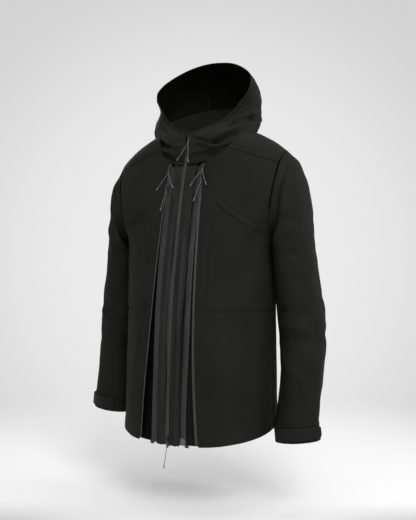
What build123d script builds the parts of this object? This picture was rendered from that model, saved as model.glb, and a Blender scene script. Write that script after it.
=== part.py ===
from build123d import *
from math import acos, asin, atan2, cos, degrees, hypot, pi, radians, sin, sqrt, tan
import os

# Hooded hardshell jacket with a zip-in front insert, as worn, in millimetres.
#
# Frame: origin at the centre of the neck, +Z up, -Y to the front, +X to the wearer's left.
# Fabric pieces are thin closed shells. The three front zips follow one large arc, so every
# zip piece is revolved about one far axis that is parallel to X, and the sliders turn about it.

# ---------------------------------------------------------------- driving dimensions
FABRIC = 2.0                 # three-layer shell fabric with its lining
GAP = 0.25                   # room between pieces that only lie on each other
CHIN_Y, CHIN_Z = -57.0, 17.0         # top of the centre zip
HEM_Y, HEM_Z = -166.0, -768.0        # bottom of the centre zip
FRONT_BOW = 30.0             # how far the front stands out from that chord
NECK_FRONT_Z = -60.0         # neck seam at the centre front
INSERT_HALF = 50.0           # half width of the front insert, to its zip centre lines
INSERT_SAG = 5.0             # how far the insert's edges lie behind its middle
SLIT_HALF = 7.0              # half of the slot in the fabric along each zip

# Torso rings: height, half width, back depth, centre; the front depth follows the zip arc.
# Between -252 and -44 the half width runs on past the armhole, where the panels are cut.
TORSO = [
    (-780, 210, 114, 6), (-600, 207, 114, 6), (-420, 205, 114, 6), (-310, 207, 115, 8),
    (-255, 214, 116, 9), (-210, 238, 116, 10), (-150, 258, 116, 12), (-80, 258, 106, 18),
    (-44, 243, 95, 21), (-24, 221, 89, 23), (-3, 190, 84, 25), (17, 150, 78, 28), (30, 112, 74, 30),
]
TORSO_SQUARENESS = 2.3       # 2 is an ellipse, more is squarer
ARMHOLE_TOP, ARMHOLE_LOW = (240, -44), (212, -252)    # x and height of the armhole's ends
YOKE_FRONT_Z, YOKE_BACK_Z, SEAM_GAP = -44.0, -140.0, 0.6
HEM_RISE, BACK_FALL = 0.185, -0.15   # slope of the hem along y, at the front and the back

# Hood rings: height of the front point, back point in the middle plane, half width.
HOOD = [
    (-60, (98, 18), 98), (-36, (106, 42), 103), (-15, (150, 92), 128),
    (0, (178, 150), 150), (9, (150, 200), 150), (CHIN_Z, (83, 230), 143),
]
BRIM_SHARE, HOOD_SEAM_X = 0.7, 58.0
NECK_FRONT_Y, NECK_BACK_Y = -78.0, 98.0

# Left sleeve rings: outer and inner point (x, z), centre y, half depth.
SLEEVE_UPPER = [
    ((242, -44), (214, -252), 15, 84), ((268, -66), (217, -262), 16, 84),
    ((284, -104), (219, -274), 18, 82), ((296, -160), (220, -290), 20, 78),
    ((304, -240), (221, -315), 24, 73), ((312, -320), (219, -350), 29, 68), ((320, -395), (217, -407), 34,
        65),
    ((331, -480), (217, -480), 38, 62),
]
SLEEVE_LOWER = [
    ((331, -480), (217, -480), 38, 62), ((333, -540), (223, -542), 30, 59), ((331, -598), (227, -602), 20,
        55),
    ((330, -655), (224, -662), 8, 50), ((329, -708), (220, -720), -6, 45),
]
ELBOW_GAP = 1.5
CUFF_LENGTH, CUFF_FABRIC = 42.0, 3.0
RIGHT_SLEEVE_LIFT = 28.0     # the right arm hangs a little higher at the wrist

# Zip, slider and pull, measured from the tape's middle plane.
TAPE, TAPE_WIDTH, COIL, COIL_NEAR, COIL_FAR = 0.8, 10.0, 2.4, 1.4, 4.0
SLIDER_LENGTH, SLIDER_HALF, PLATE, PLATE_IN = 14.0, 5.6, 1.0, 1.7
CROWN_TOP, PIVOT_N, TAB_END = 7.4, 5.0, 22.0
CORD, TIP_LENGTH, TIP_RADIUS = 1.6, 9.0, 1.4

os.makedirs("parts", exist_ok=True)

# ---------------------------------------------------------------- the zip arc
_chord = hypot(HEM_Y - CHIN_Y, HEM_Z - CHIN_Z)
ARC_R = (_chord ** 2 / 4 + FRONT_BOW ** 2) / (2 * FRONT_BOW)
_ny, _nz = (CHIN_Z - HEM_Z) / _chord, (HEM_Y - CHIN_Y) / _chord   # from the front to the axis
AXIS_Y = (CHIN_Y + HEM_Y) / 2 + _ny * (ARC_R - FRONT_BOW)
AXIS_Z = (CHIN_Z + HEM_Z) / 2 + _nz * (ARC_R - FRONT_BOW)


def front_y(z):
    """Y of the centre front line at height z."""
    return AXIS_Y - sqrt(ARC_R ** 2 - (z - AXIS_Z) ** 2)


def arc_angle(z, inset=0.0):
    """Angle about the zip axis, in degrees, at which a line inset behind the front has height z."""
    return degrees(asin((z - AXIS_Z) / (ARC_R - inset)))


def insert_set_back(x):
    """How far the insert lies behind the centre front line, x from the middle."""
    return INSERT_SAG * (x / INSERT_HALF) ** 2


def on_arc(local, z, x=0.0, inset=0.0):
    """Moves a shape from zip coordinates (x, outward normal as Y, up as Z) to height z on a zip."""
    turn = arc_angle(z, inset)
    spun = Pos(x, -(ARC_R - inset), 0) * local
    return Pos(0, AXIS_Y, AXIS_Z) * Rot(-turn, 0, 0) * spun


def zip_strip(x0, x1, n0, n1, z0, z1, x=0.0, inset=0.0):
    """A bar of zip: x0 to x1 across, n0 to n1 outward, from height z0 to z1 along the arc."""
    low, high = arc_angle(z0, inset), arc_angle(z1, inset)
    r0, r1 = ARC_R - inset + n0, ARC_R - inset + n1
    profile = Polyline((x + x0, -r0, 0), (x + x1, -r0, 0), (x + x1, -r1, 0), (x + x0, -r1, 0), close=True)
    bar = revolve(make_face(profile), Axis.X, high - low)
    return Pos(0, AXIS_Y, AXIS_Z) * Rot(-high, 0, 0) * bar


# ---------------------------------------------------------------- helpers
def save(name, shape):
    solids = shape.solids() if not isinstance(shape, (list,
                                                      tuple)) else [s for x in shape for s in x.solids()]
    whole = solids[0] if len(solids) == 1 else Compound(children=list(solids))
    whole.label = name
    export_step(whole, f"parts/{name}.step")


def block(x0, x1, y0, y1, z0, z1):
    return Pos((x0 + x1) / 2, (y0 + y1) / 2, (z0 + z1) / 2) * Box(x1 - x0, y1 - y0, z1 - z0)


def largest(shape, count=1):
    """The biggest solids of a cut, without the crumbs."""
    found = sorted(shape.solids(), key=lambda s: -s.volume)
    return found[0] if count == 1 else found[:count]


def mirrored(shape):
    return mirror(shape, about=Plane.YZ)


def torso_at(z):
    """Half width, back depth and centre of the torso at height z, smoothly between the rings."""
    k = max(0, min(len(TORSO) - 2, sum(r[0] <= z for r in TORSO) - 1))
    found = []
    for column in (1, 2, 3):
        def slope(i):
            i0, i1 = max(i - 1, 0), min(i + 1, len(TORSO) - 1)
            return (TORSO[i1][column] - TORSO[i0][column]) / (TORSO[i1][0] - TORSO[i0][0])
        step = TORSO[k + 1][0] - TORSO[k][0]
        t = (z - TORSO[k][0]) / step
        found.append((2
                      * t ** 3 - 3 * t ** 2 + 1) * TORSO[k][column] + (t ** 3
                          - 2 * t ** 2 + t) * step * slope(k)
                     + (3
                        * t ** 2 - 2 * t ** 3) * TORSO[k
                                                       + 1][column] + (t ** 3
                                                           - t ** 2) * step * slope(k + 1))
    return found


def torso_point(z, angle, grow, slope=0.0, fixed_y=0.0):
    """Point of the torso at an angle (0 left side, -90 front, 90 back); slope tilts the level along y."""
    level = z
    for _ in range(3):
        half, back, middle = torso_at(level)
        front = middle - front_y(level) - INSERT_SAG + 2
        c, s = cos(radians(angle)), sin(radians(angle))
        bend = 2 / TORSO_SQUARENESS
        x = (half + grow) * (1 if c > 0 else -1) * abs(c) ** bend
        y = middle + ((front if s < 0 else back) + grow) * (1 if s > 0 else -1) * abs(s) ** bend
        level = z + slope * (y - fixed_y)
    return Vector(x, y, level)


def angle_at(x, z, sign=-1):
    """Angle at which the torso has the side distance x; sign -1 is the front, 1 the back."""
    half = torso_at(z)[0]
    return sign * degrees(acos(min(1.0, abs(x) / half) ** (TORSO_SQUARENESS / 2)))


def armhole_x(z):
    (x1, z1), (x0, z0) = ARMHOLE_TOP, ARMHOLE_LOW
    return x0 + (x1 - x0) * (z - z0) / (z1 - z0)


def side_end(sign=-1):
    """Angle at which a panel stops: the side seam, and the armhole above it."""
    def find(z):
        if z < -290:
            return 1.2 * sign
        if z < -260:
            return (2.0 if z < -275 else 5.0) * sign
        return angle_at(armhole_x(z) - 3.5, z, sign)
    return find


def panel(levels, start, end, near, far, count=11):
    """A thin solid on the torso through level sections, each a height or (height, slope, fixed y)."""
    faces = []
    for level in levels:
        z, slope, fixed = level if isinstance(level, tuple) else (level, 0.0, 0.0)
        a0, a1 = start(z), end(z)
        angles = [a0 + (a1 - a0) * k / (count - 1) for k in range(count)]
        outside = [torso_point(z, a, far, slope, fixed) for a in angles]
        inside = [torso_point(z, a, near, slope, fixed) for a in reversed(angles)]
        faces.append(make_face([Spline(*outside), Line(outside[-1], inside[0]),
                                Spline(*inside), Line(inside[-1], outside[0])]))
    return loft(faces, ruled=True)


def edge_line(points, shift=0.0):
    """Angle of a line on the front that runs through points (x, z)."""
    rows = sorted((z, x) for x, z in points)

    def find(z):
        for (z0, x0), (z1, x1) in zip(rows, rows[1:]):
            if z <= z1 or z1 == rows[-1][0]:
                return angle_at(x0 + (x1 - x0) * (z - z0) / (z1 - z0) + shift, z)
    return find


# ---------------------------------------------------------------- torso fabric
def front_level(up, slope=HEM_RISE):
    return (HEM_Z + up, slope, HEM_Y)


# Front panels: the left one hangs wider open than the right one.
EDGE_X = INSERT_HALF + SLIT_HALF
LEFT_EDGE = [(EDGE_X, 0), (EDGE_X, -125), (62, -300), (65, -480), (74, -650), (83, -780)]
RIGHT_EDGE = [(EDGE_X, 0), (EDGE_X, -160), (62, -330), (70, -500), (80, -650), (90, -780)]
FRONT_LEVELS = [front_level(0), front_level(30, 0.17), front_level(70, 0.145), front_level(130, 0.1),
                front_level(210, 0.04),
                -480, -420, -360, -310, -285, -268, -250, -230, -200, -150, -100, YOKE_FRONT_Z - SEAM_GAP]
for side, name, edge in ((1, "left", LEFT_EDGE), (-1, "right", RIGHT_EDGE)):
    made = panel(FRONT_LEVELS, edge_line(edge), side_end(), -FABRIC, 0)
    save(f"front_panel_{name}", made if side > 0 else mirrored(made))

BACK_SIDE_Z, BACK_SIDE_Y = HEM_Z + HEM_RISE * (6 - HEM_Y), 6.0
back_levels = [(BACK_SIDE_Z, BACK_FALL, BACK_SIDE_Y), (BACK_SIDE_Z + 70, -0.08, BACK_SIDE_Y), -580, -480,
               -420, -360, -310, -285, -268, -250, -230, -200, YOKE_BACK_Z - SEAM_GAP]
mirror_end = lambda z: 180 - side_end(1)(z)
save("back_panel", panel(back_levels, side_end(1), mirror_end, -FABRIC, 0, 21))
save("back_yoke", panel([YOKE_BACK_Z, -110, -80, YOKE_FRONT_Z - SEAM_GAP], side_end(1), mirror_end,
                        -FABRIC, 0, 21))

neck_mid = ((NECK_FRONT_Y + NECK_BACK_Y) / 2, (-60 + 18) / 2)
neck_long = hypot(NECK_BACK_Y - NECK_FRONT_Y, 78) / 2
neck_way = (0, -78 / (2 * neck_long), (NECK_BACK_Y - NECK_FRONT_Y) / (2 * neck_long))
neck_plane = Plane(origin=(0, *neck_mid), x_dir=(1, 0, 0), z_dir=neck_way)
neck_hole = neck_plane * Pos(0, 0, -3) * extrude(Ellipse(122, neck_long + 10), 120)
yoke_levels = [YOKE_FRONT_Z, -24, -3, 12, 24]
yoke = panel(yoke_levels, lambda z: angle_at(EDGE_X + 1, z), lambda z: 180 - angle_at(EDGE_X + 1, z),
             -FABRIC, 0, 25)
save("shoulder_yoke", largest(yoke - neck_hole))

POCKET_TOP, POCKET_FLOOR, POCKET_IN, POCKET_OUT = -256.0, -440.0, 90.0, 198.0
pocket_levels = [POCKET_FLOOR, -420, -360, -310, -285, -268, POCKET_TOP]
pocket = panel(pocket_levels, edge_line([(POCKET_IN, -250), (POCKET_IN - 6, -450)]),
               lambda z: angle_at(POCKET_OUT, z), 0.8, 2.2)
save("pocket_left", pocket)
save("pocket_right", mirrored(pocket))


def welt():
    """A narrow strip that runs down and outward over the chest."""
    (x0, z0), (x1, z1) = (95, -166), (198, -241)
    faces = []
    for k in range(10):
        x, z = x0 + (x1 - x0) * k / 9, z0 + (z1 - z0) * k / 9

        def at(share):
            zz = z + (z1 - z0) * share
            return torso_point(zz, angle_at(x + (x1 - x0) * share, zz), 0)
        tangent = (at(0.02) - at(-0.02)).normalized()
        here = at(0)
        around = (torso_point(z, angle_at(x, z) + 1, 0) - torso_point(z, angle_at(x, z) - 1,
            0)).normalized()
        rise = (torso_point(z + 2, angle_at(x, z + 2), 0) - torso_point(z - 2, angle_at(x, z - 2),
            0)).normalized()
        normal = around.cross(rise).normalized()
        if normal.Y > 0:
            normal = normal * -1
        faces.append(Plane(origin=here + normal * 2.3, x_dir=normal, z_dir=tangent) * Rectangle(1.2, 11))
    return loft(faces, ruled=True)


made = welt()
save("chest_welts", [made, mirrored(made)])

hem_levels = [front_level(1, 0.1845), front_level(15, 0.1775), front_level(30, 0.17)]
hems = [panel(hem_levels, edge_line(LEFT_EDGE, 9), lambda z: -2.0, 0.9, 2.1),
        mirrored(panel(hem_levels, edge_line(RIGHT_EDGE, 9), lambda z: -2.0, 0.9, 2.1))]
save("front_hem", hems)

# ---------------------------------------------------------------- front insert and zips
HEM_TOP, ZIP_TOP = HEM_Z + 4, NECK_FRONT_Z - 6
TAPE_N = -3.2


def insert_half(side):
    """One half of the insert: a curved strip swept along the arc."""
    z0, z1 = HEM_Z, NECK_FRONT_Z - 2
    x0, x1 = SLIT_HALF, INSERT_HALF - SLIT_HALF
    low, high = arc_angle(z0), arc_angle(z1)

    def at(x, n):
        return (side * x, -(ARC_R - insert_set_back(x) + n), 0)
    mid = (x0 + x1) / 2
    outside = ThreePointArc(at(x0, 0), at(mid, 0), at(x1, 0))
    inside = ThreePointArc(at(x1, -FABRIC), at(mid, -FABRIC), at(x0, -FABRIC))
    profile = make_face([outside, Line(at(x1, 0), at(x1, -FABRIC)), inside, Line(at(x0, -FABRIC), at(x0,
        0))])
    return Pos(0, AXIS_Y, AXIS_Z) * Rot(-high, 0, 0) * revolve(profile, Axis.X, high - low)


save("insert_left", insert_half(1))
save("insert_right", insert_half(-1))


def side_flap(side):
    """A facing behind one outer zip that closes the view between insert and front panel."""
    z0, z1, x0, x1, n = HEM_Z + 1, -160.0, 36.0, 92.0, -9.5
    low, high = arc_angle(z0), arc_angle(z1)

    def at(x, n):
        return (side * x, -(ARC_R - insert_set_back(x) + n), 0)
    mid = (x0 + x1) / 2
    outside = ThreePointArc(at(x0, n), at(mid, n), at(x1, n))
    inside = ThreePointArc(at(x1, n - 1.2), at(mid, n - 1.2), at(x0, n - 1.2))
    profile = make_face([outside, Line(at(x1, n), at(x1, n - 1.2)), inside, Line(at(x0, n - 1.2), at(x0,
        n))])
    return Pos(0, AXIS_Y, AXIS_Z) * Rot(-high, 0, 0) * revolve(profile, Axis.X, high - low)


save("insert_side_flaps", [side_flap(1), side_flap(-1)])


def zip_side(side, x, inset, z0, z1, width=TAPE_WIDTH):
    """Tape and coil on one side of a zip whose centre line is at x."""
    edges = sorted((side * COIL_NEAR, side * width))
    coil = sorted((side * COIL_NEAR, side * COIL_FAR))
    tape = zip_strip(edges[0], edges[1], TAPE_N - TAPE / 2, TAPE_N + TAPE / 2, z0, z1, x, inset)
    rope = zip_strip(coil[0], coil[1], TAPE_N - COIL / 2, TAPE_N + COIL / 2, z0, z1, x, inset)
    return largest(tape + rope)


save("centre_zip_left_tape", zip_side(1, 0, 0, HEM_TOP, CHIN_Z - 4))
save("centre_zip_right_tape", zip_side(-1, 0, 0, HEM_TOP, CHIN_Z - 4))
EDGE_INSET = INSERT_SAG
save("insert_zip_tapes", [zip_side(-1, INSERT_HALF, EDGE_INSET, HEM_TOP, ZIP_TOP),
                          zip_side(1, -INSERT_HALF, EDGE_INSET, HEM_TOP, ZIP_TOP)])

TAPE_LEVELS = [front_level(4)] + FRONT_LEVELS[1:-1] + [ZIP_TOP]
panel_tapes = []
for side, edge in ((1, LEFT_EDGE), (-1, RIGHT_EDGE)):
    made = panel(TAPE_LEVELS, edge_line(edge, 0.6), edge_line(edge, 9), -FABRIC - 0.6 - TAPE,
                 -FABRIC - 0.6, 4)
    panel_tapes.append(made if side > 0 else mirrored(made))
save("panel_zip_tapes", panel_tapes)

BOX_HIGH = 7.0
boxes = []
for x, inset in ((0, 0), (INSERT_HALF, EDGE_INSET), (-INSERT_HALF, EDGE_INSET)):
    boxes.append(zip_strip(-4.6, 4.6, TAPE_N - 2.0, TAPE_N + 2.0, HEM_TOP - BOX_HIGH + 0.0, HEM_TOP - GAP,
                           x, inset))
save("zip_end_boxes", boxes)

# ---------------------------------------------------------------- sliders and pulls
def slider():
    """Body of one slider: two plates, side flanges, the wedge between the coils and the crown."""
    half_l, n1, n2 = SLIDER_LENGTH / 2, PLATE_IN, PLATE_IN + PLATE
    top = block(-SLIDER_HALF, SLIDER_HALF, -n2, -n1, -half_l, half_l)
    bottom = block(-SLIDER_HALF, SLIDER_HALF, n1, n2, -half_l, half_l)
    top = fillet(top.edges().filter_by(Axis.Y), 2.2)
    bottom = fillet(bottom.edges().filter_by(Axis.Y), 2.2)
    wedge = block(-1.1, 1.1, -n1, n1, -half_l + 2.5, half_l - 2.5)
    flanges = [block(min(s * 4.5, s * SLIDER_HALF), max(s * 4.5, s * SLIDER_HALF), *y, -half_l + 2.4,
                     half_l - 2.4)
               for s in (1, -1) for y in ((-n1, -0.8), (0.8, n1))]
    crown = block(-1.2, 1.2, -CROWN_TOP, -n2, -5, 5)
    crown = fillet(crown.edges().filter_by(Axis.X).group_by(Axis.Y)[0], 2.0)
    window = block(-2, 2, -CROWN_TOP + 1.3, -n2, -3.6, 3.6)
    body = top + bottom + wedge + (crown - window)
    for f in flanges:
        body += f
    return body


def pull_tab(length=TAB_END):
    """Metal tab: a cross bar through the crown, two arms and a plate with a moulded end."""
    bar = Pos(0, -PIVOT_N, 0) * Rot(0, 90, 0) * Cylinder(0.75, 5.6)
    arms = [block(min(s * 1.7, s * 2.8), max(s * 1.7, s * 2.8), -PIVOT_N - 0.7, -PIVOT_N + 0.7, -7.5,
                  0.7) for s in (1, -1)]
    plate = block(-2.8, 2.8, -PIVOT_N - 0.7, -PIVOT_N + 0.7, -length + 6, -6)
    plate = fillet(plate.edges().filter_by(Axis.Y), 0.8)
    socket = block(-2.6, 2.6, -PIVOT_N - 1.5, -PIVOT_N + 1.1, -length, -length + 7)
    socket = fillet(socket.edges().filter_by(Axis.Z), 0.9)
    return bar + arms[0] + arms[1] + plate + socket


def cord_path(points):
    """Straight runs with the largest tangent arcs that they allow."""
    vectors = [Vector(*p) for p in points]
    radii = []
    for a, b, c in zip(vectors, vectors[1:], vectors[2:]):
        turn = radians((b - a).get_angle(c - b))
        radii.append(0.45 * min((b - a).length, (c - b).length) / tan(turn / 2))
    print("cord radii", [round(r, 1) for r in radii])
    return FilletPolyline(*points, radius=radii)


def cord_tube(points):
    path = cord_path(points)
    start = Plane(origin=path @ 0, z_dir=path % 0)
    tube = sweep(start * Circle(CORD / 2), path=path)
    share = tube.volume / (pi * CORD ** 2 / 4 * path.length)
    print("cord length", round(path.length, 1), "volume share", round(share, 3))
    return tube


def cord_tip(points, length=TIP_LENGTH):
    """Moulded end, in line with the cord's last run."""
    last, before = Vector(*points[-1]), Vector(*points[-2])
    way = (last - before).normalized()
    plane = Plane(origin=last + way * (length / 2), z_dir=way)
    body = plane * Cylinder(TIP_RADIUS, length)
    return fillet(body.edges().filter_by(GeomType.CIRCLE), 0.5)


# Cord routes in zip coordinates: x, outward normal as -Y, up as Z, from the tab's end.
def leg(side, spread, length, lift=0.0, start=TAB_END):
    n = PIVOT_N + 0.2
    return [
        (side * 1.2, -n, -start - 0.4),
        (side * (1.2 + spread * 0.34), -n - 0.6 - lift, -start - length * 0.30),
        (side * (1.2 + spread * 0.60), -n - 1.0 - lift, -start - length * 0.64),
        (side * (1.2 + spread), -n - 0.7 - lift, -start - length),
    ]


# Slider places: name, x, inset, height, tab length, cord routes.
LOWER_RIGHT_Z, LOWER_LEFT_Z = -126.0, -101.0
TOP_Z = NECK_FRONT_Z - 14
SLIDERS = [
    ("centre_top", 0, 0, CHIN_Z - 12, TAB_END, [leg(-1, 20, 36), leg(1, 7, 41)]),
    ("left_top", INSERT_HALF, EDGE_INSET, TOP_Z, 15.0, [leg(-1, 21, 34, 4.0, 15.0), leg(1, 14, 31, 1.0,
        15.0)]),
    ("right_top", -INSERT_HALF, EDGE_INSET, TOP_Z, 18.0, [leg(-1, 23, 36, 0.6, 18.0), leg(1, 18, 33, 4.0,
        18.0)]),
    ("left_lower", INSERT_HALF, EDGE_INSET, LOWER_LEFT_Z, TAB_END, [leg(-1, 9, 37, 2.2)]),
    ("right_lower", -INSERT_HALF, EDGE_INSET, LOWER_RIGHT_Z, TAB_END, [leg(-1, 6, 33, 1.0)]),
    ("centre_bottom", 0, 0, HEM_TOP + 12, TAB_END, [leg(-1, 7, 44)]),
]
for name, x, inset, z, tab, legs in SLIDERS:
    seat = Pos(0, -TAPE_N, 0)
    save(f"{name}_slider", on_arc(seat * slider(), z, x, inset))
    save(f"{name}_pull", on_arc(seat * pull_tab(tab), z, x, inset))
    for letter, points in zip("ab", legs):
        ending = f"_{letter}" if len(legs) > 1 else ""
        save(f"{name}_cord{ending}", on_arc(seat * cord_tube(points), z, x, inset))
    save(f"{name}_tips", [on_arc(seat * cord_tip(points), z, x, inset) for points in legs])
    turn = radians(arc_angle(z, inset))
    reach = ARC_R - inset + TAPE_N + PIVOT_N
    print("slider", name, "pivot", [x, round(AXIS_Y - reach * cos(turn), 3),
                                    round(AXIS_Z + reach * sin(turn), 3)])

# ---------------------------------------------------------------- hood
def ring_between(place):
    """Hood ring at a place along the list: front point, back point, half width."""
    k = min(int(place), len(HOOD) - 2)
    share = place - k
    (z0, (y0, w0), h0), (z1, (y1, w1), h1) = HOOD[k], HOOD[k + 1]
    z, y, w, h = (p + (q - p) * share for p, q in ((z0, z1), (y0, y1), (w0, w1), (h0, h1)))
    return (front_y(z), z), (y, w), h


def hood_point(ring, angle, grow):
    """Point of a ring; 0 is the front, 90 the left side, 180 the back."""
    (fy, fz), (by, bz), half = ring
    length = hypot(by - fy, bz - fz)
    reach = -cos(radians(angle)) * (length / 2 + grow) / length
    return Vector((half + grow) * sin(radians(angle)), (fy + by) / 2 + (by - fy) * reach,
                  (fz + bz) / 2 + (bz - fz) * reach)


def hood_panel(places, x_start, x_end, near, far, count=9):
    """A thin solid over part of the hood; a negative x stands for the front half of the ring."""
    faces = []
    for place in places:
        ring = ring_between(place)

        def angle(x, front):
            a = degrees(asin(min(1.0, abs(x) / ring[2])))
            return (a if front else 180 - a) * (1 if x > 0 else -1)
        a0, a1 = angle(*x_start), angle(*x_end)
        if a1 < a0:
            a1 += 360
        angles = [a0 + (a1 - a0) * k / (count - 1) for k in range(count)]
        outside = [hood_point(ring, a, far) for a in angles]
        inside = [hood_point(ring, a, near) for a in reversed(angles)]
        faces.append(make_face([Spline(*outside), Line(outside[-1], inside[0]),
                                Spline(*inside), Line(inside[-1], outside[0])]))
    return loft(faces, ruled=True)


LAST = len(HOOD) - 1
BRIM_AT = LAST - 1 + BRIM_SHARE
body_places = [0, 0.5, 1, 1.5, 2, 2.5, 3, 3.5, 4, BRIM_AT - 0.02]
side_panel = hood_panel(body_places, (SLIT_HALF, True), (HOOD_SEAM_X + 2 * SEAM_GAP, False), -FABRIC, 0,
                        13)
save("hood_left", side_panel)
save("hood_right", mirrored(side_panel))
save("hood_centre", hood_panel(body_places, (HOOD_SEAM_X, False), (-HOOD_SEAM_X, False), -FABRIC, 0, 7))
brim_half = hood_panel([BRIM_AT, (BRIM_AT + LAST) / 2, LAST], (SLIT_HALF, True), (0.3, False), -FABRIC, 0,
                       17)
save("hood_brim", [brim_half, mirrored(brim_half)])

# Neck tape and hanger loop inside the back of the neck.
save("neck_tape", hood_panel([0.3, 0.75], (50, False), (-50, False), -FABRIC - 2.6, -FABRIC - 1.2, 7))
LOOP_HALF, LOOP_DROP, LOOP_DIA = 30.0, 16.0, 3.0
loop_y = 89.0
loop_path = ThreePointArc((-LOOP_HALF, loop_y - 6, 24), (0, loop_y, 24 - LOOP_DROP), (LOOP_HALF,
    loop_y - 6, 24))
loop_start = Plane(origin=loop_path @ 0, z_dir=loop_path % 0)
save("hanger_loop", sweep(loop_start * Circle(LOOP_DIA / 2), path=loop_path))

# ---------------------------------------------------------------- sleeves, cuffs and tabs
def ring_frame(ring):
    """Centre, half width, half depth and tilt of a ring that is given by its outer and inner points."""
    (xo, zo), (xi, zi), y, depth = ring
    return ((xo + xi) / 2, y, (zo + zi) / 2), hypot(xo - xi, zo - zi) / 2, depth, degrees(atan2(zi - zo,
        xo - xi))


def sleeve_ring(frame, grow):
    (x, y, z), half, depth, tilt = frame
    t = radians(tilt)
    plane = Plane(origin=(x, y, z), x_dir=(cos(t), 0, -sin(t)), z_dir=(sin(t), 0, cos(t)))
    return plane * Ellipse(half + grow, depth + grow)


def raised(rings, lift):
    """Ring frames with their height drawn up towards the wrist by up to lift."""
    low = SLEEVE_LOWER[-1][0][1]
    found = []
    for ring in rings:
        (x, y, z), half, depth, tilt = ring_frame(ring)
        found.append(((x, y, z + lift * max(0.0, (-150 - z) / (-150 - low))), half, depth, tilt))
    return found


def tube(frames, thick, count=25):
    """A fabric tube through ring frames, with its seam as a hairline along the underarm."""
    faces = []
    for (x, y, z), half, depth, tilt in frames:
        t = radians(tilt)

        def at(angle, grow):
            p, q = (half + grow) * cos(radians(angle)), (depth + grow) * sin(radians(angle))
            return Vector(x + p * cos(t), y + q, z - p * sin(t))
        angles = [-179.8 + 359.6 * k / (count - 1) for k in range(count)]
        outside, inside = [at(a, 0) for a in angles], [at(a, -thick) for a in reversed(angles)]
        faces.append(make_face([Spline(*outside), Line(outside[-1], inside[0]),
                                Spline(*inside), Line(inside[-1], outside[0])]))
    return loft(faces, ruled=True)


def cuff_rings(ring, length, grow):
    (x, y, z), half, depth, tilt = ring
    t = radians(tilt)
    down = (-sin(t) * length, 0, -cos(t) * length)
    return [((x, y, z), half + grow, depth + grow, tilt),
            ((x + down[0], y, z + down[2]), half + grow, depth + grow, tilt)]


def arm(lift):
    upper, lower = raised(SLEEVE_UPPER, lift), raised(SLEEVE_LOWER, lift)
    (x, y, z), half, depth, tilt = upper[-1]
    upper[-1] = ((x, y, z + ELBOW_GAP / 2), half, depth, tilt)
    lower[0] = ((x, y, z - ELBOW_GAP / 2), half, depth, tilt)
    wrist = lower[-1]
    ring, hollow = cuff_rings(wrist, CUFF_LENGTH, 1.0), cuff_rings(wrist, CUFF_LENGTH, 1.0 - CUFF_FABRIC)
    cuff = loft([sleeve_ring(r, 0) for r in ring]) - loft([sleeve_ring(r, 0) for r in hollow])
    return tube(upper, FABRIC), tube(lower, FABRIC), cuff, wrist, (x, y - depth, z)


def on_wrist(wrist, drop, shape):
    """Places a shape drawn in the wrist's own plane, drop below its top."""
    (x, y, z), half, depth, tilt = wrist
    t = radians(tilt)
    plane = Plane(origin=(x - sin(t) * drop, y, z - cos(t) * drop), x_dir=(cos(t), 0, -sin(t)),
                  z_dir=(sin(t), 0, cos(t)))
    return plane * shape


TAB_FROM, TAB_TO, TAB_HIGH, TAB_FABRIC, TAB_CLEAR = -118.0, -4.0, 30.0, 1.8, 0.4


def wrist_strip(wrist, near, far, start, stop, drop, high):
    """A strip that follows the cuff from angle start to stop, near to far outside it."""
    _, half, depth, _ = wrist
    ring = Ellipse(half + far, depth + far) - Ellipse(half + near, depth + near)
    reach = 300
    fan = [(0, 0)]
    steps = 6
    for k in range(steps + 1):
        a = radians(start + (stop - start) * k / steps)
        fan.append((reach * cos(a), reach * sin(a)))
    sector = make_face(Polyline(*fan, close=True))
    strip = extrude(ring & sector, high, dir=(0, 0, -1))
    return on_wrist(wrist, drop, strip)


for side, name, lift in ((1, "left", 0.0), (-1, "right", RIGHT_SLEEVE_LIFT)):
    upper, lower, cuff, wrist, elbow = arm(lift)
    patch = wrist_strip(wrist, 1.0 + GAP, 2.2, -80, TAB_TO - 4, 8, 26)
    strip = wrist_strip(wrist, 2.2 + TAB_CLEAR, 2.2 + TAB_CLEAR + TAB_FABRIC, TAB_FROM, TAB_TO, 6,
                        TAB_HIGH)
    for node, shape in ((f"sleeve_{name}_upper", upper), (f"sleeve_{name}_lower", lower), (f"cuff_{name}",
        cuff),
                        (f"cuff_loop_patch_{name}", patch), (f"cuff_tab_{name}", strip)):
        save(node, shape if side > 0 else mirrored(shape))
    t, a = radians(wrist[3]), radians(TAB_FROM)
    (x, y, z), half, depth, _ = wrist
    ex, ey = (half + 2.6) * cos(a), (depth + 2.6) * sin(a)
    print("tab hinge", name, [round(side * (x + ex * cos(t)), 2), round(y + ey, 2), round(z - ex * sin(t),
        2)],
          "axis", [round(side * sin(t), 4), 0, round(cos(t), 4)])
    print("zip axis", [0, round(AXIS_Y, 3), round(AXIS_Z, 3)], "radius", round(ARC_R, 2))
    print("elbow", name, [side * elbow[0], elbow[1], round(elbow[2], 2)])
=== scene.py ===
import math
import bmesh
import bpy
import numpy as np
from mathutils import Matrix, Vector, noise


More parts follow.
